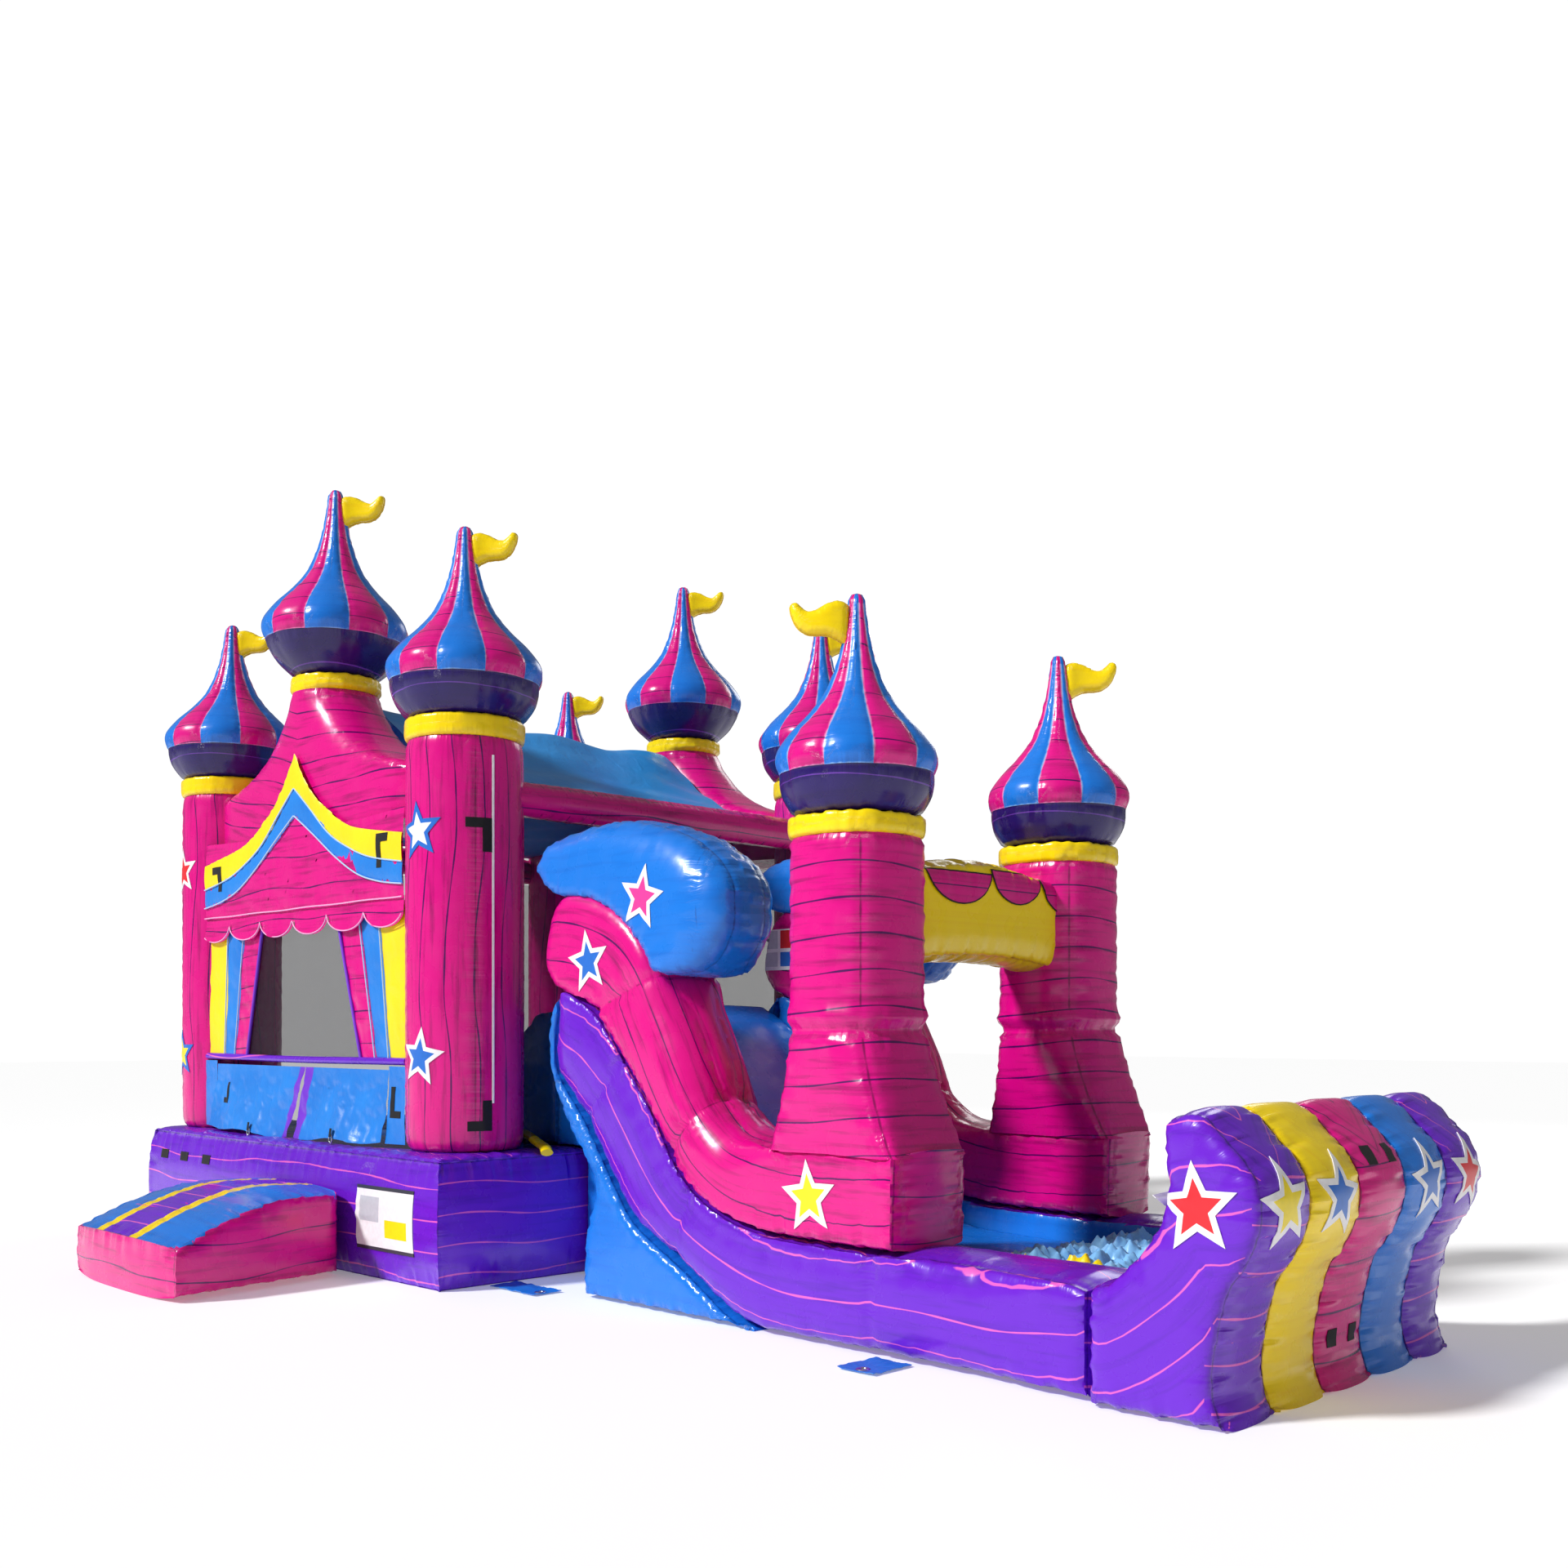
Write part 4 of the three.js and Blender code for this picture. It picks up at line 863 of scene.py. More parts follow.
UNDER = [(2.57, 0.0), (3.885, 0.0), (3.698, 0.062), (3.402, 0.23), (3.004, 0.435), (2.853, 0.6), (2.6, 0.93),
    (2.36, 1.19), (2.345, 1.386), (2.4, 1.62),
         (2.3, 1.54), (2.262, 1.388), (2.29, 1.16), (2.449, 0.88), (2.59, 0.72), (2.665, 0.573), (2.585, 0.32)]
under_outline = curved(UNDER, 0.045, keep=(0, 1, 9))
for side in ("near", "far"):
    low, high = box("slide_lower_wall_" + side)
    h0, h1 = (low - HOUSE)[1], (high - HOUSE)[1]
    near = side == "near"
    thick = h1 - h0
    toward = 1 if near else -1
    bm = puffed(lower_outline, h0, h1, "xz", side=0.03, roll=(0.17, 0.075),
        soft=lambda q: np.clip(seam_curve.near(q)[0] / 0.12, 0.25, 1) * np.clip((5.6 - q[:, 0]) / 0.4, 0.3, 1),
                depth=0.0045, fold=0.11, wave=0.12, seed=h0, cells_h=0.05,
                rows=[([(2.6, 0.92), (2.96, 1.27)], 0.012, 0.035), ([(3.3, 0.25), (3.47, 0.66)], 0.012, 0.035),
                    ([(4.62, 0.0), (4.62, 0.47)], 0.012, 0.035)])
    finish_piece("slide_tube_" + side, bm, [film_purple, film_blue], ["slide_lower_wall_" + side],
        host=True,
                 film=guide_film(lower_guide, h0, h1), paint=lambda c, n, toward=toward: n[:, 1] * toward > 0.75)
    bm = puffed(upper_outline, h0, h1, "xz", side=0.02, roll=(0.22, 0.36 * thick), soft=wall_soft,
        sewn=lambda q: (seam_curve.near(q)[0] < 0.02) | (q[:, 0] > 3.9),
                depth=0.008, fold=0.12, wave=0.1, seed=h0 + 1, cells_h=0.05,
                rows=[([(2.7, 1.50), (3.22, 1.70)], 0.02, 0.03), ([(3.30, 0.79), (3.56, 1.12)], 0.02, 0.03),
                    ([(3.56, 1.1), (4.1, 0.87)], 0.008, 0.03)],
                more=[[(4.779, y, z) for z in np.linspace(0.5, 0.87, 20)] for y in (h0 + 0.02, h1 - 0.02)])
    finish_piece("slide_wall_" + side, bm, [film_pink_plain], ["slide_upper_wall_" + side], host=True,
                 film=guide_film(upper_guide, h0, h1))
    low, high = box("slide_hood_" + side)
    h0, h1 = (low - HOUSE)[1], (high - HOUSE)[1]
    bm = puffed(hood_outline, h0, h1, "xz", side=0.012, roll=(0.24, 0.3 * (h1 - h0)), soft=hood_soft, depth=0.0075,
        fold=0.16, wave=0.095, seed=h0 + 2, cells_h=0.05,
                rows=[([(3.40, 1.7), (3.47, 1.95), (3.42, 2.3)], 0.012, 0.03)])
    finish_piece("slide_hood_" + side, bm, [film_blue], ["slide_hood_" + side], host=True)
    u0, u1 = (h0 + 0.03, lane_y0) if near else (lane_y1, h1 - 0.03)
    bm = puffed(under_outline, u0, u1, "xz", side=0.02, roll=(0.06, 0.03), depth=0.006, fold=0.08, seed=h0 + 3, cells_h=0.06)
    finish_piece("slide_skirt_" + side, bm, [film_blue], host=True)

LANE = [(1.991, 0.0), (1.991, 0.725), (1.704, 0.725), (1.704, 1.56), (2.3, 1.56), (2.56, 1.42), (3.42, 0.7),
    (3.65, 0.47), (3.95, 0.36), (4.783, 0.33), (5.989, 0.25), (5.989, 0.0)]
bm = puffed(curved(LANE, 0.06, keep=(0, 1, 2, 3, 4, 10, 11)), lane_y0, lane_y1, "xz", cells=0.08, side=0.01,
    roll=(0.05, 0.012), depth=0.005, fold=0.08, seed=4)
finish_piece("slide_lane", bm, [film_blue], ["slide_bed"])

# steps up to the slide, inside the room
low, high = box("climb_steps")
sx0, sx1 = (low - HOUSE)[0], (high - HOUSE)[0]
STEPS = [(sx0, FLOOR)]
for i in range(5):
    STEPS += [(0.56 + i * 0.21, FLOOR + (i + 0.55) * 0.16), (0.64 + i * 0.21, FLOOR + (i + 0.97) * 0.16)]
STEPS += [(sx1, 1.545), (sx1, FLOOR)]
bm = puffed(curved(STEPS, 0.04, keep=(0, 11, 12)), lane_y0, lane_y1, "xz", side=0.02, roll=(0.08, 0.03), depth=0.006, seed=6)
finish_piece("climbing_steps", bm, [film_blue], ["climb_steps"])

# ---------------------------------------------------------------- landing bumper
low, high = box("end_bumper")
by0, by1 = (low - HOUSE)[1], (high - HOUSE)[1]
PROFILE = [(5.74, 0.0), (5.74, 0.454), (5.82, 0.484), (5.931, 0.578), (6.015, 0.682), (6.053, 0.765), (6.068, 0.86),
    (6.053, 1.059), (6.11, 1.12), (6.2, 1.138),
           (6.26, 1.105), (6.328, 1.033), (6.39, 0.973), (6.438, 0.9), (6.46, 0.787), (6.438, 0.672), (6.384, 0.564),
               (6.328, 0.48), (6.279, 0.267), (6.272, 0.136), (6.315, 0.0)]
SHORT = [(5.992, 0.0), (5.992, 0.645)] + PROFILE[4:]
full = curved(PROFILE, 0.04, keep=(0, 1, 20))
short = curved(SHORT, 0.04, keep=(0, 1, 18))
bumper_guide = [(5.0, 0.47), (5.7, 0.47), (5.95, 0.62), (6.12, 0.8), (6.3, 0.82), (6.6, 0.82)]
BANDS = [film_purple, film_yellow, film_pink_plain, film_blue, film_purple]
width = (by1 - by0) / 5
for i, film in enumerate(BANDS):
    h0, h1 = by0 + i * width, by0 + (i + 1) * width
    ends = (1.0 if i == 0 else 0.08, 1.0 if i == 4 else 0.08)
    bm = puffed(full if i in (0, 4) else short, h0, h1, "xz", cells=0.05, side=0.02, roll=(0.1, 0.05), ends=ends,
                depth=0.008, fold=0.11, wave=0.085, seed=7 + i, cells_h=0.042, power=2.6)
    if i == 0:
        # the bumper's cheeks carry it back past the end of the landing
        cheek = curved([(5.74, 0.0), (5.74, 0.454), (5.82, 0.484), (5.931, 0.578), (6.0, 0.66), (6.0, 0.0)], 0.05,
            keep=(0, 1, 4, 5))
        block = puffed(cheek, by0 + width - 0.03, lane_y0 - 0.004, "xz", side=0.01, roll=(0.05, 0.01), depth=0.004, seed=20)
        finish_piece("bumper_cheek", block, [film_purple])
    finish_piece(f"bumper_tube_{i + 1}", bm, [film], ["end_bumper"] if i == 0 else [],
                 host=True, film=guide_film(bumper_guide, h0, h1))

# --------------------------------------------------------- slide columns and arch
COLLAR_Z, COLUMN_TOP = 2.279, 2.378
for side, sign in (("near", -1), ("far", 1)):
    node = "slide_column_" + side
    low, high = box(node)
    low, high = low - HOUSE, high - HOUSE
    dome_low, dome_high = box("dome_slide_" + side)
    cx, cy = ((dome_low + dome_high) / 2 - HOUSE)[:2]
    wall_low, wall_high = box("slide_upper_wall_" + side)
    fy = ((wall_low + wall_high) / 2 - HOUSE)[1]
    hy = (wall_high - wall_low)[1] / 2
    r = 0.287
    z_foot = 0.862
    heights = [(r, z) for z in np.linspace(z_foot, 1.5, 26)] + [(r, z) for z in np.linspace(1.525, COLLAR_Z - 0.03,
        28)] + [(r - 0.012, COLLAR_Z)]
    collar = smooth_profile([(r - 0.012, COLLAR_Z), (r, COLLAR_Z + 0.008), (r + 0.006, COLLAR_Z + 0.04),
        (r + 0.004, COLUMN_TOP - 0.012), (r - 0.004, COLUMN_TOP - 0.003), (r - 0.025, COLUMN_TOP)], 0.012)
    profile = [(0, z_foot)] + [(r * k / 8, z_foot) for k in range(1,
        8)] + heights + [tuple(q) for q in collar[1:]] + [(0, COLUMN_TOP)]
    bm = spun(profile, 112)
    p = coords(bm)
    a, rad = np.arctan2(p[:, 1], p[:, 0]), np.hypot(p[:, 0], p[:, 1])
    s = np.clip((1.46 - p[:, 2]) / (1.46 - z_foot), 0, 1)
    grow = s**1.7
    # a puffed shaft bellies out a little over the fold where its foot begins
    n = 2.5 / (1 - 0.78 * s**1.1)
    wx = rad * (1 + (0.39 / r - 1) * grow)
    wy = rad * (1 + (min(hy + 0.012, 0.3) / r - 1) * grow)
    c, q = np.cos(a), np.sin(a)
    fold_in = 0.020 * np.exp(-(((p[:, 2] - 1.41) / 0.02) ** 2)) - 0.012 * np.exp(-(((p[:, 2] - 1.47) / 0.04) ** 2))
    p[:, 0] = (wx - 1.3 * fold_in) * np.sign(c) * np.abs(c) ** (2 / n) + 0.068 * s
    p[:, 1] = (wy - 1.3 * fold_in) * np.sign(q) * np.abs(q) ** (2 / n)
    place(bm, p)
    bmesh.ops.translate(bm, verts=bm.verts[:], vec=(cx, cy, 0))
    p = coords(bm)
    lowering = np.clip((1.46 - p[:, 2]) / (1.46 - z_foot), 0, 1)
    p[:, 1] += (fy - cy) * lowering
    place(bm, p)
    outward(bm)
    seams = [ring_at(cx, cy, r - 0.012, COLLAR_Z), ring_at(cx, cy, r - 0.02, COLUMN_TOP)]
    for sx in (-1, 1):
        for sy in (-1, 1):
            line = []
            for z in np.linspace(z_foot, COLLAR_Z - 0.01, 50):
                t = np.clip((1.46 - z) / (1.46 - z_foot), 0, 1)
                g, m = t**1.7, 2.5 / (1 - 0.78 * t**1.1)
                k = 0.5 ** (1 / m)
                line.append((cx + 0.068 * t + sx * r * (1 + (0.39 / r - 1) * g) * k,
                    cy + (fy - cy) * t + sy * r * (1 + (min(hy + 0.012, 0.3) / r - 1) * g) * k, z))
            seams.append(line)
    seams.append([(cx + 0.068 + 0.39 * math.cos(t), fy + hy * math.sin(t), z_foot) for t in np.linspace(0, 6.28, 80)])
    seams.append(ring_at(cx, cy, r - 0.012, 1.41))
    draw_in(bm, seams, 0.0065, 0.09, seed=cy, wave=0.085, groove=0.005)
    finish_piece("arch_column_" + side, bm, [film_pink, film_yellow], [node], host=True,
                 film=round_film(cx, cy, r), paint=lambda c, n: c[:, 2] > COLLAR_Z + 0.001)
    crown("slide_" + side, cx, cy, r, -54 if side == "near" else 54, away=side == "near")

low, high = box("slide_arch")
ax0, ax1 = (low - HOUSE)[0], (high - HOUSE)[0]
ARCH = [(-1.245, 1.64), (-0.9, 1.722), (-0.446, 1.745), (0.0, 1.722), (0.352, 1.64), (0.352, 2.15), (0.0, 2.205),
    (-0.446, 2.25), (-0.9, 2.205), (-1.245, 2.15)]
bm = puffed(curved(ARCH, 0.04, keep=(0, 4, 5, 9)), ax0, ax1, "yz", cells=0.05, side=0.03, roll=(0.12, 0.05),
    depth=0.0085, fold=0.13, wave=0.075, seed=11)
finish_piece("slide_arch_tube", bm, [film_yellow], ["slide_arch"], host=True)

# ------------------------------------------------- loose sheets, piping and badges
def flow(x, z, size=1.0, seed=0.0):
    """Slack folds in a loose sheet, from -1 to 1: broad diagonal ones and finer ones across them."""
    a = np.sin((5.1 * x + 3.3 * z) / size + seed + 1.4 * np.sin((2.3 * x - 3.1 * z) / size + seed))
    b = np.sin((13.0 * x - 8.0 * z) / size + 2 * seed + 1.8 * np.sin((4.0 * x + 6.0 * z) / size))
    c = np.sin((31.0 * x + 17.0 * z) / size + 3 * seed + 2.0 * np.sin((11.0 * x - 9.0 * z) / size))
    return 0.5 * a + 0.32 * b + 0.18 * c


def hanging(columns, rows, shape, marks=None, thick=0.003):
    """A sheet from a grid whose two sides run from 0 to 1, put in place by shape, with its thickness added."""
    bm = bmesh.new()
    bmesh.ops.create_grid(bm, x_segments=columns, y_segments=rows, size=0.5)
    if marks:
        for face in bm.faces:
            c = face.calc_center_median()
            face.material_index = marks(c.x + 0.5, c.y + 0.5)
    p = coords(bm)
    place(bm, shape(p[:, 0] + 0.5, p[:, 1] + 0.5))
    bmesh.ops.solidify(bm, geom=bm.faces[:], thickness=thick)
    outward(bm)
    return bm


def piped(points, radius, sides=8, flat=1.0):
    """A thin round or flattened cord along the points, closed at both ends."""
    points = [Vector(q) for q in points]
    bm = bmesh.new()
    ring = bmesh.ops.create_circle(bm, cap_ends=True, segments=sides, radius=1.0)["verts"]
    edges = [e for e in bm.edges]
    base = [v.co.copy() for v in ring]
    last = len(points) - 1
    for i, q in enumerate(points):
        along = (points[min(i + 1, last)] - points[max(i - 1, 0)]).normalized()
        turn = along.to_track_quat("Z", "Y").to_matrix()
        if i:
            made = bmesh.ops.extrude_edge_only(bm, edges=edges)["geom"]
            new = [g for g in made if isinstance(g, bmesh.types.BMVert)]
            edges = [g for g in made if isinstance(g, bmesh.types.BMEdge) and all(v in new for v in g.verts)]
            ring = new
        for v, c in zip(ring, base):
            v.co = q + turn @ Vector((c.x * radius, c.y * radius * flat, 0))
    bmesh.ops.contextual_create(bm, geom=edges)
    outward(bm)
    return bm


def flat_spot(centre, u, v):
    centre, u, v = (np.array(t, float) for t in (centre, u, v))
    n = np.cross(u, v)
    return lambda a, b: (centre + a[:, None] * u + b[:, None] * v + 0.3 * n, np.tile(-n, (len(a), 1)))


def round_spot(x, y, z, angle, radius):
    def rule(a, b):
        t = angle + a / radius
        way = np.stack([np.cos(t), np.sin(t), np.zeros(len(a))], axis=1)
        return np.array([x, y, z]) + way * (radius + 0.3) + np.stack([0 * a, 0 * a, b], axis=1), -way

    return rule


def badge(name, outline, spot, materials, on, border=0.0, lift=0.0035, cells=0.022, thick=0.003, body=INFLATABLE, marks=None):
    """A patch cut to the outline, with a border of its own where one is given, laid on the pieces named in on.
    spot gives where each point looks for them, and which way."""
    bm = bmesh.new()
    face = bm.faces.new([bm.verts.new((a, b, 0)) for a, b in outline])
    bm.normal_update()
    if face.normal.z < 0:
        face.normal_flip()
    if border:
        inner = bm.faces[:]
        ring = bmesh.ops.inset_region(bm, faces=inner, thickness=border, use_boundary=True, use_even_offset=True)["faces"]
        for f in ring:
            f.material_index = 1
    p = coords(bm)
    low, high = p.min(axis=0), p.max(axis=0)
    for axis in (0, 1):
        for c in np.arange(low[axis] + cells, high[axis], cells):
            co, no = [0, 0, 0], [0, 0, 0]
            co[axis], no[axis] = c, 1
            bmesh.ops.bisect_plane(bm, geom=bm.verts[:] + bm.edges[:] + bm.faces[:], dist=1e-5, plane_co=co, plane_no=no)
    bmesh.ops.triangulate(bm, faces=[f for f in bm.faces if len(f.verts) > 4])
    if marks:
        for f in bm.faces:
            c = f.calc_center_median()
            f.material_index = marks(c.x, c.y)
    p = coords(bm)
    start, way = spot(p[:, 0], p[:, 1])
    reached = np.full(len(p), np.nan)
    for host in on:
        tree = hosts[host]
        for i in range(len(p)):
            hit = tree.ray_cast(Vector(start[i]), Vector(way[i]), 0.8)
            if hit[0] is not None and not reached[i] <= hit[3]:
                reached[i] = hit[3]
    reached = np.where(np.isnan(reached), np.nanmedian(reached), reached)
    place(bm, start + way * (reached - lift)[:, None])
    bm.normal_update()
    if sum((f.normal.dot(Vector(way[0])) for f in bm.faces)) > 0:
        bmesh.ops.reverse_faces(bm, faces=bm.faces[:])
    bmesh.ops.solidify(bm, geom=bm.faces[:], thickness=thick)
    outward(bm)
    return finish_piece(name, bm, materials, body=body)


# --------------------------------------------------------- swag, valance, curtains
SWAG_TOP = ([0, 0.1, 0.2, 0.3, 0.45, 0.5, 0.7, 0.9, 1.28, 1.31], [3.165, 3.03, 2.92, 2.84, 2.755, 2.72, 2.64, 2.60, 2.547, 2.545])
SWAG_MIDDLE = ([0, 0.2, 0.46, 0.74, 0.95, 1.28, 1.31], [2.945, 2.80, 2.61, 2.49, 2.43, 2.38, 2.377])
SWAG_LOW = ([0, 0.25, 0.54, 0.8, 1.05, 1.28, 1.31], [2.77, 2.63, 2.46, 2.34, 2.28, 2.252, 2.25])
HEM_Z = 2.178


def smoothed(curve):
    w, z = curve
    fine = curved(list(zip(w, z)), 0.02, closed=False)
    return fine[:, 0], fine[:, 1]


def swag_band(name, top, bottom, y, material, seed, extra=0.0):
    tw, tz = smoothed(top)
    bw, bz = smoothed(bottom) if bottom else (None, None)

    def top_of(x):
        hi = np.interp(np.abs(x), tw, tz) + extra
        return np.maximum(hi, 2.66 + 0.02 * x * x) if bottom is None else hi

    def shape(s, t):
        x = (s - 0.5) * 2.6
        hi = top_of(x)
        lo = np.interp(np.abs(x), bw, bz) if bottom else np.full_like(x, HEM_Z)
        z = lo + (hi - lo) * t
        puff = 0.007 * np.sin(np.pi * t) ** 0.7
        # puckers run square across the band from its sewn edges
        edge = np.minimum(t, 1 - t) * (hi - lo)
        tuck = 0.004 * ripple(np.abs(x) * 1.3 + 0.2 * z, seed, 0.07) * np.exp(-edge / 0.05)
        return np.stack([x, y - puff - tuck - 0.004 * flow(x, z, 0.8, seed), z], axis=1)

    bm = hanging(150, 26, shape)
    piece = finish_piece(name, bm, [material], ["swag"] if name == "swag_field" else [],
        host=True)
    return piece


swag_band("swag_field", SWAG_LOW, None, -1.774, film_pink_plain, 1.0, extra=0.03)
swag_band("swag_blue_band", SWAG_MIDDLE, SWAG_LOW, -1.779, sheet_band_blue, 2.0, extra=0.015)
swag_band("swag_yellow_band", SWAG_TOP, SWAG_MIDDLE, -1.784, sheet_yellow, 3.0)

for name, curve, tint in (("upper", SWAG_MIDDLE, ink_pale_blue), ("lower", SWAG_LOW, ink_pale_blue)):
    w, h = smoothed(curve)
    x = np.linspace(-1.298, 1.298, 160)
    finish_piece("swag_piping_" + name, piped([(a, -1.789, float(np.interp(abs(a), w, h))) for a in x], 0.005), [tint])

SCALLOP_X = np.linspace(-1.355, 1.315, 7)


def scallop_z(x):
    u = np.clip((x - SCALLOP_X[0]) / (SCALLOP_X[1] - SCALLOP_X[0]), 0, 5.9999) % 1.0
    return 2.131 - 0.122 * np.sqrt(np.clip(1 - (2 * u - 1) ** 2, 0, 1)) ** 0.85


def valance_shape(s, t):
    x = -1.3 + 2.6 * s
    lo = scallop_z(x)
    z = lo + (HEM_Z + 0.006 - lo) * t
    drop = (HEM_Z - z) / 0.17
    return np.stack([x, -1.772 - 0.014 * drop - 0.009 * drop * np.sin(2 * np.pi * (x - SCALLOP_X[0]) / 0.445) - 0.003 * flow(x, z, 0.5, 4), z], axis=1)


valance = finish_piece("valance_scallops", hanging(240, 12, valance_shape), [film_pink_plain], ["valance"])
trim = [(x, -1.79 - 0.0015 * math.sin(6 * x), float(scallop_z(np.array(x))) + 0.001) for x in np.linspace(-1.298, 1.298, 260)]
finish_piece("valance_edge_piping", piped(trim, 0.0045), [ink_pale_pink])
finish_piece("valance_top_piping",
    piped([(x, -1.787 - 0.003 * math.sin(5 * x), HEM_Z + 0.002 * math.sin(9 * x)) for x in np.linspace(-1.3, 1.3, 90)],
        0.005), [ink_pale_pink])

CURTAINS = {
    "left": [(-1.3, -1.3), (-0.994, -1.043), (-0.760, -0.890), (-0.493, -0.708)],
    "right": [(1.3, 1.3), (0.998, 1.108), (0.772, 0.955), (0.521, 0.788)],
}
for side, lines in CURTAINS.items():

    def drawn(s, t, lines=lines, side=side):
        z = 1.235 + (2.16 - 1.235) * t
        at = [b + (a - b) * np.clip((z - 1.24) / (2.05 - 1.24), 0, 1.2) for a, b in lines]
        k = np.clip(s * 3, 0, 2.999)
        i = k.astype(int)
        rows = np.stack(at)
        n = np.arange(len(s))
        x = rows[i, n] + (rows[i + 1, n] - rows[i, n]) * (k - i)
        seam = np.minimum(np.abs(k - np.round(k)), 1) * 0.25
        return np.stack([x, -1.752 - 0.006 * flow(x, z, 0.55, len(side)) - 0.006 * np.sqrt(np.clip(seam, 0, 0.1)) * 3, z], axis=1)

    bm = hanging(60, 44, drawn, marks=lambda s, t: min(2, int(s * 3)))
    curtain = finish_piece("curtain_stripes_" + side, bm, [sheet_yellow, sheet_band_blue, film_pink_plain],
        ["curtain_" + side], host=True)
    for k in (1, 2, 3):
        top, bottom = lines[k]
        z = np.linspace(1.24, 2.15, 40)
        x = bottom + (top - bottom) * np.clip((z - 1.24) / 0.81, 0, 1.2)
        finish_piece(f"curtain_{side}_piping_{k}",
            piped([(a, -1.763 if k < 3 else -1.76, b) for a, b in zip(x, z)], 0.0045 if k < 3 else 0.011),
                     [ink_pale_blue if k < 3 else sheet_purple])

sill = [(x, -1.757 - 0.004 * math.sin(3 * x), 1.224 - 0.003 * math.cos(2.4 * x)) for x in np.linspace(-1.3, 1.3, 90)]
finish_piece("window_sill_tube", piped(sill, 0.022, 16), [film_purple], ["sill_band"])

# ------------------------------------------------------------------- door flaps
FLAPS = {"left": ((-1.14, -1.14), (0.12, -0.04)), "right": ((1.14, 1.14), (0.125, 0.075))}


def flap_surface(side, s, t):
    (outer_top, outer_low), (slit_top, slit_low) = FLAPS[side]
    z = 1.176 - 0.436 * t
    outer = outer_top + (outer_low - outer_top) * t + (-0.012 if side == "right" else 0.012)
    slit = slit_top + (slit_low - slit_top) * t
    x = outer + (slit - outer) * s
    lean = 0.1 * t**1.5 * (0.35 + 0.65 * np.sin(np.pi * np.clip(0.12 + 0.8 * s, 0, 1)))
    sag = 0.028 * (t**3) * (s if side == "left" else 0.8 * s)
    fold = 0.016 * flow(x, z, 0.62, 2.0 + (side == "right")) * np.clip(t * 3, 0, 1) + 0.007 * flow(x, z, 0.3,
        5) * np.clip(t * 5, 0.1, 1)
    return np.stack([x, -1.77 - lean - fold * np.clip(t * 4, 0, 1),
        z - 0.012 * np.sin(3.0 * np.pi * s) * t - sag + 0.02 * t], axis=1)


for side in ("left", "right"):
    bm = hanging(78, 36, lambda s, t, side=side: flap_surface(side, s, 1 - t), marks=lambda s, t,
        side=side: 1 if s > (0.955 if side == "left" else 0.9) else 0)
    body = "flap_" + side
    flap = finish_piece("door_sheet_" + side, bm, [sheet_band_blue, sheet_purple], ["door_flap_" + side], body=body,
        host=True)
    at = flap_surface(side, np.array([0.62 if side == "left" else 0.45]), np.array([0.98]))[0]
    steel = spun([(0.017 + 0.004 * math.cos(t), 0.004 * math.sin(t)) for t in np.linspace(0, 2 * math.pi, 13)], 28)
    p = coords(steel)
    place(steel, np.stack([p[:, 0], p[:, 2] - 0.006, p[:, 1] * 1.5 - 0.012], axis=1) + at)
    outward(steel)
    finish_piece("door_ring_" + side, steel, [bright_steel], body=body)
    strap = piped([at + (0.0, -0.004, 0.05), at + (0.0, -0.009, 0.02), at + (0.0, -0.012, -0.002)], 0.014, 8, flat=0.2)
    finish_piece("door_strap_" + side, strap, [loop_black], body=body)

# the doorway's fixed side strips, between each flap and its tower
for side, sign in (("left", -1), ("right", 1)):

    def strip(s, t, sign=sign):
        z = 0.752 + 0.446 * t
        x = sign * (1.134 + 0.172 * s)
        return np.stack([x, -1.772 - 0.03 * (1 - t) ** 2 * (1 - s) - 0.004 * flow(x, z, 0.4, 3), z], axis=1)

    sheet = finish_piece("door_side_" + side, hanging(14, 30, strip), [sheet_band_blue], host=True)

# ------------------------------------------------------------------------ liner
LINER_X, LINER_Z = [4.8, 4.98, 5.15, 5.33, 5.52, 5.7, 5.86, 5.96], [0.345, 0.42, 0.37, 0.445, 0.37, 0.43, 0.34, 0.3]
ly0, ly1 = (box("landing_liner")[0] - HOUSE)[1], (box("landing_liner")[1] - HOUSE)[1]


def liner_shape(s, t):
    x = 4.76 + (5.985 - 4.76) * s
    y = ly0 + (ly1 - ly0) * t
    z = np.interp(x + 0.05 * np.sin(7 * y), LINER_X, LINER_Z)
    sharp = np.abs(flow(x, y, 0.33, 3.0)) * 0.055 + np.abs(flow(y, x, 0.2, 1.0)) * 0.03
    return np.stack([x, y, z + sharp - 0.035], axis=1)


bm = hanging(110, 100, liner_shape, marks=lambda s, t: 1 if t < 0.06 else 0, thick=0.004)
liner = finish_piece("landing_sheet", bm, [sheet_liner_blue, sheet_yellow], ["landing_liner"])

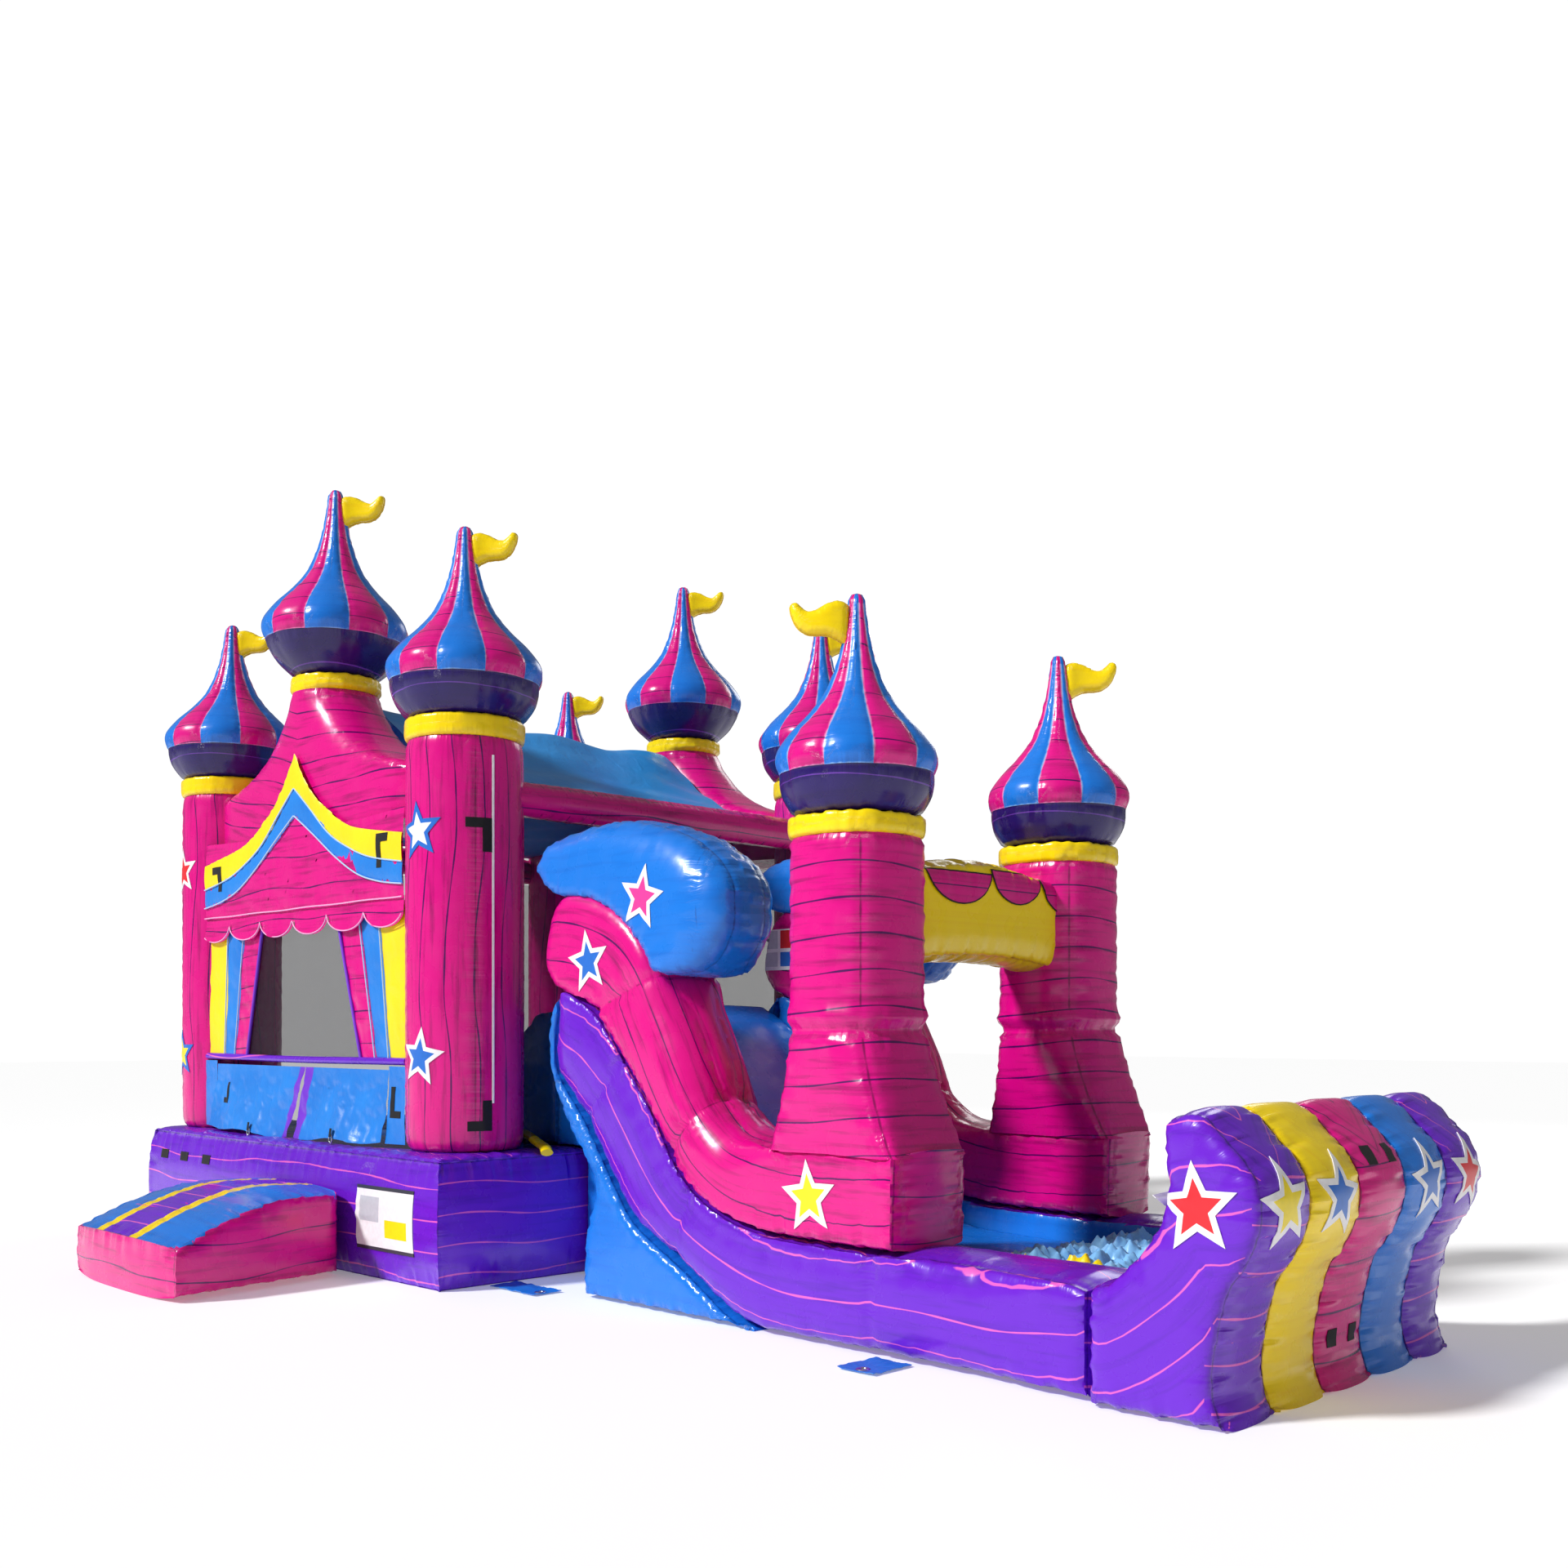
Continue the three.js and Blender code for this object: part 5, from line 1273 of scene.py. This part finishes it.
# ------------------------------------------------------------------ anchor tabs
TABS = {
    "slide_foot": (4.66, 4.86, -1.745, -1.5, 4.76, -1.695), "slide_top": (1.98, 2.39, -1.65, -1.47, 2.335, -1.57),
    "left": (-2.09, -1.82, -0.6, -0.4, -2.04, -0.5), "back": (0.9, 1.1, 1.87, 2.13, 1.0, 2.08),
}
for where, (ax, bx, ay, by, hx, hy) in TABS.items():
    bm = bmesh.new()
    bmesh.ops.create_circle(bm, segments=32, radius=0.019)
    inner = list(bm.verts)
    corners = sorted(math.atan2(cy - hy, cx - hx) % (2 * math.pi) for cx in (ax, bx) for cy in (ay, by))
    angles = [2 * math.pi * k / 32 for k in range(32)]
    for c in corners:  # one point of the ring looks straight at each corner
        k = min(range(32), key=lambda i: abs((angles[i] - c + math.pi) % (2 * math.pi) - math.pi))
        angles[k] = c
    for v, a in zip(inner, angles):
        v.co = (hx + 0.019 * math.cos(a), hy + 0.019 * math.sin(a), 0)
    made = bmesh.ops.extrude_edge_only(bm, edges=bm.edges[:])["geom"]
    outer = [g for g in made if isinstance(g, bmesh.types.BMVert)]
    for v, a in zip(outer, angles):
        c, s = math.cos(a), math.sin(a)
        reach = min(((bx if c > 0 else ax) - hx) / c if abs(c) > 1e-6 else 9,
            ((by if s > 0 else ay) - hy) / s if abs(s) > 1e-6 else 9)
        v.co = (hx + reach * c, hy + reach * s, 0)
    bmesh.ops.subdivide_edges(bm, edges=bm.edges[:], cuts=5, use_grid_fill=True)
    p = coords(bm)
    near_hole = np.clip((np.hypot(p[:, 0] - hx, p[:, 1] - hy) - 0.035) / 0.05, 0, 1)
    p[:, 2] = 0.005 + near_hole * (0.004 + 0.004 * flow(p[:, 0], p[:, 1], 0.14, hx))
    place(bm, p)
    bmesh.ops.solidify(bm, geom=bm.faces[:], thickness=0.003)
    bmesh.ops.recalc_face_normals(bm, faces=bm.faces[:])
    p = coords(bm)
    place(bm, p - (0, 0, min(0, p[:, 2].min())))
    outward(bm)
    tab = finish_piece("tab_" + where, bm, [sheet_band_blue], ["anchor_tab_" + where])
    eyelet = spun([(0.016, 0.0), (0.016, 0.009), (0.02, 0.0125), (0.027, 0.0115), (0.032, 0.0085), (0.033, 0.006),
        (0.03, 0.0), (0.016, 0.0)], 36)
    bmesh.ops.translate(eyelet, verts=eyelet.verts[:], vec=(hx, hy, 0.0))
    finish_piece("eyelet_" + where, eyelet, [bright_steel])

# ------------------------------------------------------------- air inlet and blower
sleeve_low, sleeve_high = box("inflation_sleeve") - np.array([HOUSE, HOUSE])
sx, sz = (sleeve_low[0] + sleeve_high[0]) / 2, (sleeve_low[2] + sleeve_high[2]) / 2
tube = spun([(0.0, 0.0)] + [(0.126 + 0.004 * math.sin(3 * t), 0.66 * t) for t in np.linspace(0, 1, 60)] + [(0.0, 0.66)], 96)
bmesh.ops.delete(tube, geom=[f for f in tube.faces if abs(f.normal.z) > 0.9], context="FACES")
p = coords(tube)
a, r, v = np.arctan2(p[:, 1], p[:, 0]), np.hypot(p[:, 0], p[:, 1]), p[:, 2]
tied = np.exp(-(((v - 0.575) / 0.05) ** 2))
r = np.where(r > 0.05, 0.1285 + 0.0045 * np.sin(9 * v + 2 * np.sin(3 * a)) * (1 - tied) + 0.003 * ripple(a * 0.13, 2.0,
    0.05) * (0.3 + tied), r)
p = np.stack([sx + r * np.cos(a), sleeve_low[1] + v, sz + r * np.sin(a)], axis=1)
place(tube, p)
bmesh.ops.delete(tube, geom=[w for w in tube.verts if not w.link_faces], context="VERTS")
bmesh.ops.solidify(tube, geom=tube.faces[:], thickness=0.003)
outward(tube)
sleeve = finish_piece("air_sleeve", tube, [sheet_purple], ["inflation_sleeve"])
band = spun([(0.131, -0.019), (0.1345, -0.017), (0.1345, 0.017), (0.131, 0.019), (0.131, -0.019)], 96)
p = coords(band)
place(band, np.stack([sx + p[:, 0], sleeve_low[1] + 0.575 + p[:, 2], sz + p[:, 1]], axis=1))
outward(band)
finish_piece("air_sleeve_strap", band, [loop_black])

for node, material in (("blower_housing", blower_yellow), ("blower_grille", dark_plastic),
    ("blower_motor", motor_paint), ("blower_impeller", dark_plastic)):
    nodes[node].data.materials.clear()
    nodes[node].data.materials.append(material)

# ------------------------------------------------------------------------- stars
def star_shape(outer=0.172, inner=0.078, turn=0.0):
    return [((outer, inner)[k % 2] * math.cos(math.pi / 2 + math.pi * k / 5 + turn),
        (outer, inner)[k % 2] * math.sin(math.pi / 2 + math.pi * k / 5 + turn)) for k in range(10)]


def star(name, spot, fill, line, on, turn=0.0):
    badge("star_" + name, star_shape(turn=turn), spot, [fill, line], on, border=0.024, lift=0.0045)


fr, fl = turret_at["front_right"], turret_at["front_left"]
star("right_upper", round_spot(*fr, 2.523, math.radians(-83), 0.335), ink_white, ink_blue, ["tower_front_right"], 0.1)
star("right_lower", round_spot(*fr, 1.257, math.radians(-81), 0.335), ink_blue, ink_white, ["tower_front_right"], -0.12)
star("left_upper", round_spot(*fl, 2.519, math.radians(-97), 0.335), ink_red, ink_white, ["tower_front_left"], 0.12)
star("left_lower", round_spot(*fl, 1.237, math.radians(-101), 0.335), ink_yellow, ink_blue, ["tower_front_left"], 0.1)
RIGHT, UP, BACK = (1, 0, 0), (0, 0, 1), (0, 1, 0)
star("slide_wall", flat_spot((2.682, -1.5, 1.765), RIGHT, UP), ink_blue, ink_white, ["slide_wall_near"], 0.15)
star("hood", flat_spot((3.113, -1.5, 2.075), RIGHT, UP), ink_pink, ink_white, ["slide_hood_near"], -0.2)
star("block", flat_spot((4.275, -1.5, 0.665), RIGHT, UP), ink_yellow, ink_white, ["slide_wall_near"], 0.1)
star("bumper_side", flat_spot((6.215, -1.55, 0.785), RIGHT, UP), ink_red, ink_white, ["bumper_tube_1"], 0.1)
for k, (y, fill) in enumerate([(-1.3635, ink_yellow), (-0.9465, ink_blue), (-0.1125, ink_blue), (0.3065, ink_red)]):
    star(f"bumper_{k + 1}", flat_spot((6.4, y, 0.8), BACK, UP), fill, ink_white, [f"bumper_tube_{(1, 2, 4, 5)[k]}"],
        0.12 * (-1) ** k)

# ------------------------------------------------ hook-and-loop marks and small labels
def angle_mark(w, h, bar, corner):
    """An L of tape w wide and h high. corner is where its two arms meet: top or bottom, left or right."""
    shape = [(0, 0), (w, 0), (w, bar), (bar, bar), (bar, h), (0, h)]
    shape = [(x - w / 2, y - h / 2) for x, y in shape]
    if "right" in corner:
        shape = [(-x, y) for x, y in shape][::-1]
    if "top" in corner:
        shape = [(x, -y) for x, y in shape][::-1]
    return shape


badge("tape_swag_left", angle_mark(0.13, 0.17, 0.05, "top right"), flat_spot((-1.1, -1.78, 2.44), RIGHT, UP),
    [loop_black], ["swag_yellow_band", "swag_blue_band"], lift=0.003)
badge("tape_swag_right", angle_mark(0.12, 0.2, 0.05, "top left"), flat_spot((1.08, -1.78, 2.46), RIGHT, UP),
    [loop_black], ["swag_yellow_band", "swag_blue_band"], lift=0.003)
badge("tape_flap_left", angle_mark(0.09, 0.14, 0.035, "bottom right"), flat_spot((-0.94, -1.8, 0.985), RIGHT, UP),
    [loop_black], ["door_sheet_left"], lift=0.003, body="flap_left")
badge("tape_flap_right", angle_mark(0.1, 0.18, 0.04, "bottom left"), flat_spot((1.215, -1.8, 0.99), RIGHT, UP),
    [loop_black], ["door_side_right"], lift=0.003)
badge("tape_tower_upper", angle_mark(0.15, 0.19, 0.055, "top right"), round_spot(*fr, 2.5, math.radians(-20), 0.335),
    [loop_black], ["tower_front_right"])
badge("tape_tower_lower", angle_mark(0.14, 0.17, 0.055, "bottom right"),
    round_spot(*fr, 0.93, math.radians(-19), 0.335), [loop_black], ["tower_front_right"])
oblong = [(-0.06, -0.03), (0.06, -0.03), (0.06, 0.03), (-0.06, 0.03)]
for k, x in enumerate((-1.552, -1.214, -0.855)):
    badge(f"tape_base_{k + 1}", oblong, flat_spot((x, -2.0, 0.545), RIGHT, UP), [loop_black], ["base_cushion"])
pipe = [(fr[0] + 0.337 * math.cos(PIPE_AT), fr[1] + 0.337 * math.sin(PIPE_AT), z) for z in np.linspace(1.0, 2.95, 60)]
finish_piece("tower_white_piping", piped(pipe, 0.008), [ink_white])
care = [(-0.29, -0.18), (0.29, -0.18), (0.29, 0.18), (-0.29, 0.18)]


def care_marks(a, b):
    """A blank care card: a tinted frame, two pale boxes and one yellow box."""
    if abs(b) > 0.155:
        return 1
    if 0.02 < a < 0.24 and -0.1 < b < -0.01:
        return 2
    if -0.25 < a < -0.05 and -0.02 < b < 0.12:
        return 3
    return 0


badge("care_card", care, flat_spot((1.43, -2.0, 0.35), RIGHT, UP), [ink_white, ink_slate, ink_yellow, ink_grey],
    ["base_cushion"], lift=0.005, cells=0.02, marks=care_marks)
square = [(-0.135, -0.125), (0.135, -0.125), (0.135, 0.125), (-0.135, 0.125)]
badge("use_card", square, flat_spot((2.42, 0.16, 1.9), RIGHT, UP), [ink_white, ink_grey, ink_blue, ink_red],
    ["slide_wall_far"], lift=0.004,
      marks=lambda a, b: 0 if min(abs(a), abs(b)) < 0.012 or max(abs(a), abs(b)) > 0.11 else (1, 2, 1, 3)[(a > 0) + 2 * (b > 0)])

# a yellow band over the base's edge beside the front right tower
over = [(1.5, -1.12, 0.81), (1.62, -1.14, 0.79), (1.74, -1.17, 0.762), (1.84, -1.2, 0.745), (1.93, -1.24, 0.735),
    (1.985, -1.27, 0.715)]
finish_piece("step_band_yellow", piped([tuple(q) for q in curved(over, 0.03, closed=False)], 0.035, 16, flat=0.6), [film_yellow])

# arch scallops and the bumper's fastening flaps
for k, (y0, ym, y1, zt, zb) in enumerate([(-0.93, -0.66, -0.446, 2.19, 2.03), (-0.446, -0.2, -0.02, 2.215, 2.05),
    (-0.02, 0.16, 0.3, 2.2, 2.03)]):
    half = [((y0 + y1) / 2 + (y1 - y0) / 2 * math.cos(t), zt - 0.02 + (zb - zt) * math.sin(t)) for t in np.linspace(0,
        math.pi, 18)]
    badge(f"arch_scallop_{k + 1}", half[::-1], flat_spot((4.45, 0, 0), BACK, UP), [film_pink_plain, loop_black],
        ["slide_arch_tube"], border=0.007, lift=0.008)
patch = [(-0.035, -0.035), (0.035, -0.035), (0.035, 0.035), (-0.035, 0.035)]
for k, (y, z) in enumerate([(-0.62, 0.93), (-0.44, 0.93), (-0.62, 0.2), (-0.44, 0.2)]):
    badge(f"bumper_tape_{k + 1}", patch, flat_spot((6.4, y, z), BACK, UP), [loop_black], ["bumper_tube_3"])

# ------------------------------------------------------------------ the setting
FLOOR_HALF_WIDTH = 60.0  # metres
KEY_STRENGTH, KEY_SPREAD, KEY_DIRECTION = 3.5, math.radians(7), (5.0, 13.0, -11.0)
FILL_WATTS, BACK_WATTS = 25, 260
EYE, LOOK_ROUND = (6.693, -6.313, 1.42), math.radians(44.84)
LENS_MM, FRAME_MM, FRAME_RISE = 34.203, 36, 0.1557

bm = bmesh.new()
bmesh.ops.create_grid(bm, x_segments=1, y_segments=1, size=FLOOR_HALF_WIDTH)
ground_mesh = bpy.data.meshes.new("studio_floor")
bm.to_mesh(ground_mesh)
bm.free()
floor_paint, tree, shader = start_material("studio_floor_paint", "#F4F4F4", 0.9, Emission_Strength=0.2,
    Emission_Color=(1.0, 1.0, 1.0, 1.0))  # matt emulsion, nearly white
ground_mesh.materials.append(floor_paint)
ground = bpy.data.objects.new("studio_floor", ground_mesh)
scene.collection.objects.link(ground)
ground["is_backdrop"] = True

world = bpy.data.worlds.new("studio")
scene.world = world
world.use_nodes = True
background = world.node_tree.nodes["Background"]
background.inputs["Color"].default_value = (1.0, 1.0, 1.0, 1.0)
# the backdrop itself is white, and its light on the object is softer
seen = add(world.node_tree, "LightPath").outputs["Is Camera Ray"]
glow = add(world.node_tree, "MapRange", {"Value": seen, "To Min": 0.2, "To Max": 1.05}).outputs["Result"]
world.node_tree.links.new(glow, background.inputs["Strength"])
scene.view_settings.view_transform = "Standard"


def lamp(name, at, toward, size, power):
    light = bpy.data.lights.new(name, "AREA")
    light.shape, light.size, light.size_y = "RECTANGLE", size[0], size[1]
    light.energy = power
    thing = bpy.data.objects.new(name, light)
    scene.collection.objects.link(thing)
    thing.location = at
    thing.rotation_euler = (Vector(toward) - Vector(at)).to_track_quat("-Z", "Y").to_euler()


key = bpy.data.lights.new("key_light", "SUN")
key.energy, key.angle = KEY_STRENGTH, KEY_SPREAD
key_lamp = bpy.data.objects.new("key_light", key)
scene.collection.objects.link(key_lamp)
key_lamp.rotation_euler = Vector(KEY_DIRECTION).to_track_quat("-Z", "Y").to_euler()
lamp("fill_light", (14.0, -6.0, 5.0), (0.0, 0.0, 1.5), (8.0, 6.0), FILL_WATTS)
lamp("back_light", (-4.0, 12.0, 9.0), (0.0, 0.0, 1.5), (6.0, 4.0), BACK_WATTS)

camera_data = bpy.data.cameras.new("camera")
camera_data.lens = LENS_MM
camera_data.sensor_width = FRAME_MM
camera_data.shift_y = FRAME_RISE
camera_data.clip_end = 200
camera = bpy.data.objects.new("camera", camera_data)
scene.collection.objects.link(camera)
camera.location = EYE
camera.rotation_euler = (math.radians(90), 0, LOOK_ROUND)
scene.camera = camera

low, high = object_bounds()
